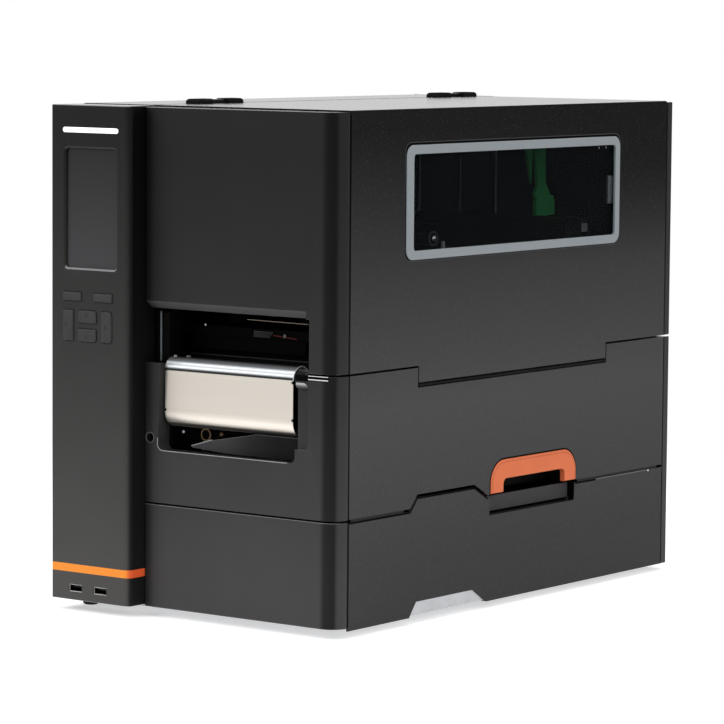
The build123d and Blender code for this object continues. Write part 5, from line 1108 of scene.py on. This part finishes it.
class PRINTER_OT_exit_plate(bpy.types.Operator):
    """Makes the bright plate at the label exit: a rolled cover over a brushed face sheet"""

    bl_idname = "printer.exit_plate"
    bl_label = "Exit plate"
    curl = 14.0 * MM
    face_end = math.radians(38)
    curl_end = math.radians(61)
    right_gap = 0.3 * MM
    notch_half = 1.0 * MM
    notch_deep = 1.6 * MM

    def execute(self, context):
        low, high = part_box("guide_plate")
        roll_foot = high.z - settings("exit").roll_drop
        roll = self.rolled_sheet(low, high, roll_foot)
        face = self.face_sheet(low, high, roll_foot)
        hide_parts("guide_plate")
        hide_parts("guide_plate")
        return {"FINISHED"}

    @staticmethod
    def rolled_sheet(low, high, foot):
        """The cover: straight up at the back, half round over the top and down to its foot."""
        plate = settings("exit")
        radius = (high.y - low.y) / 2
        middle = np.array((low.y + radius, high.z - radius))
        back_leg = np.array([[high.y, middle[1] - 2 * radius], [high.y, middle[1] - radius]])
        front_leg = np.array([[low.y, foot]])
        inwards = np.array((plate.sheet, 0))
        outer = np.concatenate((back_leg, arc(middle, radius, 0, math.pi, ROLL_STEPS), front_leg))
        under = arc(middle, radius - plate.sheet, 0, math.pi, ROLL_STEPS)
        inner = np.concatenate((back_leg - inwards, under, front_leg + inwards))
        loop = np.concatenate((outer, inner[::-1]))
        mesh = Shape().loft([upright(loop, place) for place in (low.x, high.x)]).mesh("exit_roll")
        # Painted reflections: the roll's colour runs in bright and dark bands by height
        finish = steel_with_painted_reflections("exit_roll_steel", plate.roll_colour, foot, high.z, ROLL_PAINTED_REFLECTIONS, 0.3, 0.3)
        piece = placed("exit_roll", mesh, finish, "root")
        # Painted highlight round the roll's end
        end = upright(outer, high.x)[4:-1:3] / MM
        rod("roll_end_line", end[::-1], 0.34, "edge_bright", "root", (1, 0, 0))
        dome("roll_nut", (-36.6, -216.0, 210.8), 2, 2.0, -1.7, "zinc_steel", "root")
        dome("roll_nut_two", (-23.8, -215.0, 210.8), 2, 2.2, -1.7, "rim_light", "root")
        return round_edges(piece, 0.2 * MM)

    def face_sheet(self, low, high, top):
        """The face: flat down to a round foot that turns back, notched at its ends.

        Along the section the sheet runs down by s, then round an arc of the curl's radius.
        """
        plate = settings("exit")
        gap = 0.5 * MM
        start = np.array((low.y + 0.15 * MM, low.z + 15.5 * MM))
        tall = top - start[1]
        right_notches = (2.2 * MM, tall - 2.0 * MM)
        left_notches = (tall - 1.5 * MM,)
        run = np.sort([0.0, tall - gap] + [middle + side * self.notch_half for side in (-1, -1, 1, 1)
                                           for middle in right_notches + left_notches])
        bend, bend_in = self.round_foot(start, np.linspace(0, self.face_end, FOOT_STEPS + 1)[1:])
        section = np.concatenate((np.column_stack((np.full(len(run), start[0]), top - gap - run)), bend))
        inward = np.concatenate((np.tile((1.0, 0.0), (len(run), 1)), bend_in))
        left_cut, right_cut = (np.append(self.notched(run, middles), np.zeros(len(bend)))
                               for middles in (left_notches, right_notches))
        left = np.column_stack((low.x + left_cut, section))
        right = np.column_stack((high.x - right_cut - self.right_gap, section))
        depth = upright(inward * plate.sheet, 0.0)
        mesh = Shape().loft(np.stack((left, right, right + depth, left + depth), axis=1)).mesh("exit_face")
        # Painted light: the face sheet is lighter towards its foot
        finish = steel_with_painted_reflections("exit_face_steel", plate.face_colour, low.z, high.z, FACE_PAINTED_LIGHT)
        piece = placed("exit_face", mesh, finish, "root")
        bend, bend_in = self.round_foot(start, np.linspace(self.face_end, self.curl_end, BEND_STEPS))
        ring = np.concatenate((bend, (bend + bend_in * plate.sheet)[::-1]))
        rings = [upright(ring, end) for end in (low.x + plate.sheet, high.x - self.right_gap)]
        # Painted shade and highlight round the curl: darkest in its middle, lighter at both ends
        finish = plastic_with_painted_light("exit_curl_steel", plate.face_colour, bend[-1][1], section[-1][1],
                                  CURL_PAINTED_LIGHT)
        placed("exit_curl", Shape().loft(rings).mesh("exit_curl"), finish, "root")
        return round_edges(piece, 0.12 * MM)

    def round_foot(self, start, turn):
        """Points round the outside of the foot, and the ways in from them, as (y, z)."""
        inward = np.stack((np.cos(turn), np.sin(turn)), axis=1)
        return start + self.curl * ((1, 0) - inward), inward

    def notched(self, run, middles):
        """How deep the notches cut in at each place of the run."""
        deep = np.zeros(len(run))
        for middle in middles:
            cut = np.flatnonzero(np.abs(run - middle) < self.notch_half * 1.01)
            deep[cut[1:-1]] = self.notch_deep
        return deep


class PRINTER_OT_print_works(bpy.types.Operator):
    """Finishes the print mechanism"""

    bl_idname = "printer.print_works"
    bl_label = "Print mechanism"

    def execute(self, context):
        edge = settings("casing").fitting_edge
        for node in ("print_frame", "head_lever", "pressure_knob_inner", "pressure_knob_outer", "motors"):
            dressed(node, edge)
        # Painted shade: head, tear bar and bracket in black, standing for the shade inside the mouth
        for node in ("printhead", "tear_bar", "head_bracket"):
            dressed(node, edge, finish=finish_of("dark_works"))
        self.exit_fittings()
        self.head_fittings()
        paint("platen_roller", "platen_shaft", "motor_pulley", "drive_belt", "label_sensor", "shaft_bushes")
        return {"FINISHED"}

    @staticmethod
    def exit_fittings():
        """The cheek's edge with a painted highlight, the wedge under the plate with painted shade and a
        highlighted edge, and the screws behind the exit.
        """
        # Painted highlight on the cheek's edge
        slab("cheek_edge", (-48.3, 207.0), (-47.0, 247.0), 1, (-221.2, -220.6), "cheek_light", "root", 0.1)
        wedge = [(-14.5, 140.0), (6.8, 146.7), (40.1, 152.6), (52.0, 154.8), (96.8, 154.8), (96.8, 137.0),
                 (21.7, 137.2), (-13.1, 139.3)]
        prism("exit_wedge", wedge, 1, (-222.6, -219.6), "wedge_plastic", "root")
        # Painted highlight along the wedge's upper edge
        rod("wedge_edge", [(-14.5, -222.6, 140.8), (-4.0, -222.6, 143.8), (6.8, -222.6, 147.0)], 0.4,
            "edge_light", "root")
        slab("catch_bar", (-39.3, 143.0), (34.0, 155.0), 1, (CATCH_FACE, -203.0), "dark_works", "root")
        dome("catch_screw", (-36.9, CATCH_FACE, 149.0), 1, 2.2, 1.2, "zinc_steel", "root")
        dome("catch_boss", (3.0, CATCH_FACE, 149.6), 1, 2.4, 1.0, "dark_bronze", "root")
        reach, radius = np.array(((-2.5, 3.0), (-2.5, 5.2), (0, 5.2), (0, 3.0))).T * MM
        bush = Shape().turned(np.array((-11.1, CATCH_FACE, 148.6)) * MM, 1, reach, radius, BUSH_STEPS)
        placed("catch_bush", bush.mesh("catch_bush"), finish_of("dark_bronze"), "root")
        # Painted shade in the bush's bore
        dome("catch_bore", (-11.1, CATCH_FACE - 2.45, 148.6), 1, 4.1, 0.4, "dark_works", "root")

    @staticmethod
    def head_fittings():
        """Small bits on the front of the print head's bracket."""
        body = body_of("head_bracket")
        block = [(29.0, 229.4), (45.6, 229.0), (49.2, 233.9), (29.4, 234.2)]
        # In the wedge's plastic, with its painted shade across the width
        prism("head_label", block, 1, (-198.4, HEAD_FACE), "wedge_plastic", body)
        rod("head_wire", [(48.5, -197.6, 231.4), (60.0, -197.6, 230.8), (72.3, -197.6, 229.5)], 0.5,
            "signal_red", body, (0, 0, 1))
        slab("head_clip", (59.4, 230.2), (61.8, 233.0), 1, (-198.6, HEAD_FACE), "rim_light", body, 0.2)
        dome("head_screw", (-21.2, HEAD_FACE, 236.2), 1, 1.3, 0.9, "zinc_steel", body)


class PRINTER_OT_media_works(bpy.types.Operator):
    """Finishes the hanger, guides, spindles and centre wall"""

    bl_idname = "printer.media_works"
    bl_label = "Media and ribbon"

    def execute(self, context):
        edge = settings("casing").fitting_edge
        for node in ("roll_hanger", "ribbon_supply_spindle", "ribbon_takeup_spindle",
                     "rewind_spindle", "dancer_arm", "edge_guide", "centre_wall"):
            dressed(node, edge)
        paint("guide_rods")
        self.guide_prongs()
        self.seen_through_window()
        return {"FINISHED"}

    @staticmethod
    def guide_prongs():
        """The roll guide: its foot from the frame, with a waist and two prongs over it."""
        joint = 331.0
        dressed("roll_guide", settings("casing").fitting_edge, below=joint * MM)
        outline = [(126.1, joint - 0.4), (126.5, 334.3), (130.3, 339.5), (130.0, 346.0), (126.8, 371.0),
                   (126.4, 378.0), (122.6, 378.0), (121.6, 342.0), (113.3, 371.0), (110.0, 383.0),
                   (113.0, 386.3), (142.0, 386.3), (142.2, 371.0), (142.9, 342.0), (148.7, 334.3),
                   (149.6, joint - 0.4)]
        prongs = prism("guide_prongs", outline, 0, (75.6, 78.6), "guide_green", body_of("roll_guide"), 0.4)
        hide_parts("roll_guide")

    @staticmethod
    def seen_through_window():
        """Ribs with painted highlights, a rod, a mark on the spindle and a painted highlight on the hanger,
        that show behind the smoked pane.
        """
        # Painted highlight on the rear rib
        slab("rear_rib", (-46.6, 247.0), (-45.0, 248.1), 2, (306.0, 366.0), "edge_light", body_of("lid_rear"),
             0.2)
        # Faint painted highlights on the wall's ribs
        for name, place, span in (("wall_rib", 198.3, (310.0, 358.0)),
                                  ("wall_rib_two", 136.6, (299.0, 362.0))):
            slab(name, (-52.1, place), (-50.4, place + 1.2), 2, span, "rim_light", "root", 0.2)
        rod("ribbon_rod", [(place, *RIBBON_ROD) for place in (-52.2, 20.0, 95.4)], 4.2, "dark_works", "root")
        dome("ribbon_rod_screw", (95.4, *RIBBON_ROD), 0, 2.6, -1.2, "zinc_steel", "root")
        rod("ribbon_rod_rim", hoop((94.6, *RIBBON_ROD), 0, 5.6), 0.8, "groove_light", "root", (1, 0, 0))
        block = [(-33.6, 294.2), (-29.8, 293.0), (-30.6, 300.6), (-33.0, 300.8)]
        prism("spindle_mark", block, 0, (94.0, 96.0), "cheek_light", body_of("ribbon_supply_spindle"))
        # Painted highlight on the hanger's end
        slab("hanger_mark", (145.6, 301.2), (154.4, 308.4), 0, (113.8, 114.2), "step_dark",
             body_of("roll_hanger"), 0.15)


class PRINTER_OT_back_end(bpy.types.Operator):
    """Finishes the rear sockets, boards, power supply, tray, feet and screws"""

    bl_idname = "printer.back_end"
    bl_label = "Sockets, electronics and base"

    def execute(self, context):
        edge = settings("casing").fitting_edge
        for node in ("power_inlet", "power_rocker", "data_sockets", "power_supply", "base_tray", "feet"):
            dressed(node, edge)
        paint("main_board", "panel_screws")
        return {"FINISHED"}


class PRINTER_OT_studio(bpy.types.Operator):
    """Makes the floor, lamps, white surroundings and camera"""

    bl_idname = "printer.studio"
    bl_label = "Studio"

    def execute(self, context):
        studio = settings("studio")
        self.surroundings(studio)
        self.floor(studio)
        self.lamps(studio)
        self.camera(studio)
        context.scene.view_settings.view_transform = "Standard"
        return {"FINISHED"}

    @staticmethod
    def surroundings(studio):
        """White for the camera and reflections, plain soft light for the rest."""
        world = bpy.data.worlds.new("studio")
        bpy.context.scene.world = world
        world.use_nodes = True
        nodes = Nodes(world.node_tree, "ShaderNodeOutputWorld")
        rise = nodes.component(nodes.node("ShaderNodeTexCoord", out="Generated"), "Z")
        soft = nodes.node("ShaderNodeBackground", None, {"Color": WHITE, "Strength": studio.sky_strength})
        white = nodes.node("ShaderNodeBackground", None,
                           {"Color": nodes.steps(rise, SKY_STEPS), "Strength": 1.0})
        nodes.surface(nodes.node("ShaderNodeMixShader", None, {"Fac": nodes.bright_ray(), 1: soft, 2: white}))

    @staticmethod
    def floor(studio):
        """A plain pale floor that keeps the machine's shadow and goes over to white away from it."""
        half = studio.floor_size / 2
        points = [(x, y, 0) for x, y in rectangle((-half, -half), (half, half))]
        mesh = mesh_of("floor", points, [(0, 1, 2, 3)])
        finish = Finish("floor")
        seen = finish.bright_ray()
        matt = finish.node("ShaderNodeBsdfDiffuse", None, {"Color": with_alpha(studio.floor_colour)})
        glow = finish.node("ShaderNodeEmission", None, {"Color": WHITE, "Strength": seen * studio.floor_glow})
        near = finish.node("ShaderNodeAddShader", None, {0: matt, 1: glow})
        white = finish.node("ShaderNodeEmission", None, {"Color": WHITE, "Strength": seen})
        away = finish.node("ShaderNodeVectorMath", {"operation": "LENGTH"}, {0: finish.place}, "Value")
        share = ((away - FADE_START) / (FADE_END - FADE_START)).clamped()
        finish.surface(finish.node("ShaderNodeMixShader", None, {"Fac": share, 1: near, 2: white}))
        piece = bpy.data.objects.new("floor", mesh)
        bpy.context.scene.collection.objects.link(piece)
        mesh.materials.append(finish.material)

    @staticmethod
    def lamps(studio):
        """Three large soft lamps: front left, right and overhead."""
        for name, place, size in (("key", (-1.6, -2.2, 1.9), 1.8), ("fill", (2.6, -0.6, 1.4), 1.6),
                                  ("top", (0.0, 0.1, 2.6), 2.2)):
            lamp = bpy.data.lights.new(name, "AREA")
            lamp.energy = getattr(studio, name + "_power")
            lamp.shape = "SQUARE"
            lamp.size = size
            piece = bpy.data.objects.new(name, lamp)
            bpy.context.scene.collection.objects.link(piece)
            piece.location = place
            piece.rotation_euler = (LAMP_AIM - Vector(place)).to_track_quat("-Z", "Y").to_euler()

    @staticmethod
    def camera(studio):
        """The camera at the photograph's angle."""
        turn, dip, roll = studio.camera_turn, studio.camera_dip, studio.camera_roll
        lens = bpy.data.cameras.new("camera")
        lens.lens = studio.lens
        lens.sensor_width = SENSOR_WIDTH
        lens.clip_end = FAR_CLIP
        camera = bpy.data.objects.new("camera", lens)
        bpy.context.scene.collection.objects.link(camera)
        view = Matrix.Rotation(turn, 4, "Z") @ Matrix.Rotation(QUARTER_TURN - dip, 4, "X")
        view = view @ Matrix.Rotation(roll, 4, "Z")
        camera.matrix_world = Matrix.Translation(studio.camera_place) @ view
        bpy.context.scene.camera = camera


class PRINTER_PT_panel(bpy.types.Panel):
    """Lists the add-on's steps in the 3D view's sidebar"""

    bl_label = "Label printer"
    bl_space_type = "VIEW_3D"
    bl_region_type = "UI"
    bl_category = "Printer"

    def draw(self, context):
        for step in OPERATORS:
            self.layout.operator(step.bl_idname)


OPERATORS = (PRINTER_OT_casing, PRINTER_OT_mouldings, PRINTER_OT_controls, PRINTER_OT_window, PRINTER_OT_grip,
             PRINTER_OT_exit_plate, PRINTER_OT_print_works, PRINTER_OT_media_works, PRINTER_OT_back_end,
             PRINTER_OT_studio)
GROUPS = {"casing": CasingSettings, "window": WindowSettings, "exit": ExitSettings, "studio": StudioSettings}


def register():
    """Registers the settings, operators and panel."""
    for name, group in GROUPS.items():
        bpy.utils.register_class(group)
        setattr(bpy.types.Scene, "printer_" + name, PointerProperty(type=group))
    for step in OPERATORS + (PRINTER_PT_panel,):
        bpy.utils.register_class(step)


def unregister():
    """Takes the panel, operators and settings away again."""
    for step in (PRINTER_PT_panel,) + OPERATORS[::-1]:
        bpy.utils.unregister_class(step)
    for name, group in GROUPS.items():
        delattr(bpy.types.Scene, "printer_" + name)
        bpy.utils.unregister_class(group)


def main():
    """Registers the add-on and makes every piece in order."""
    register()
    for step in OPERATORS:
        group, name = step.bl_idname.split(".")
        getattr(getattr(bpy.ops, group), name)()


if __name__ == "__main__":
    main()
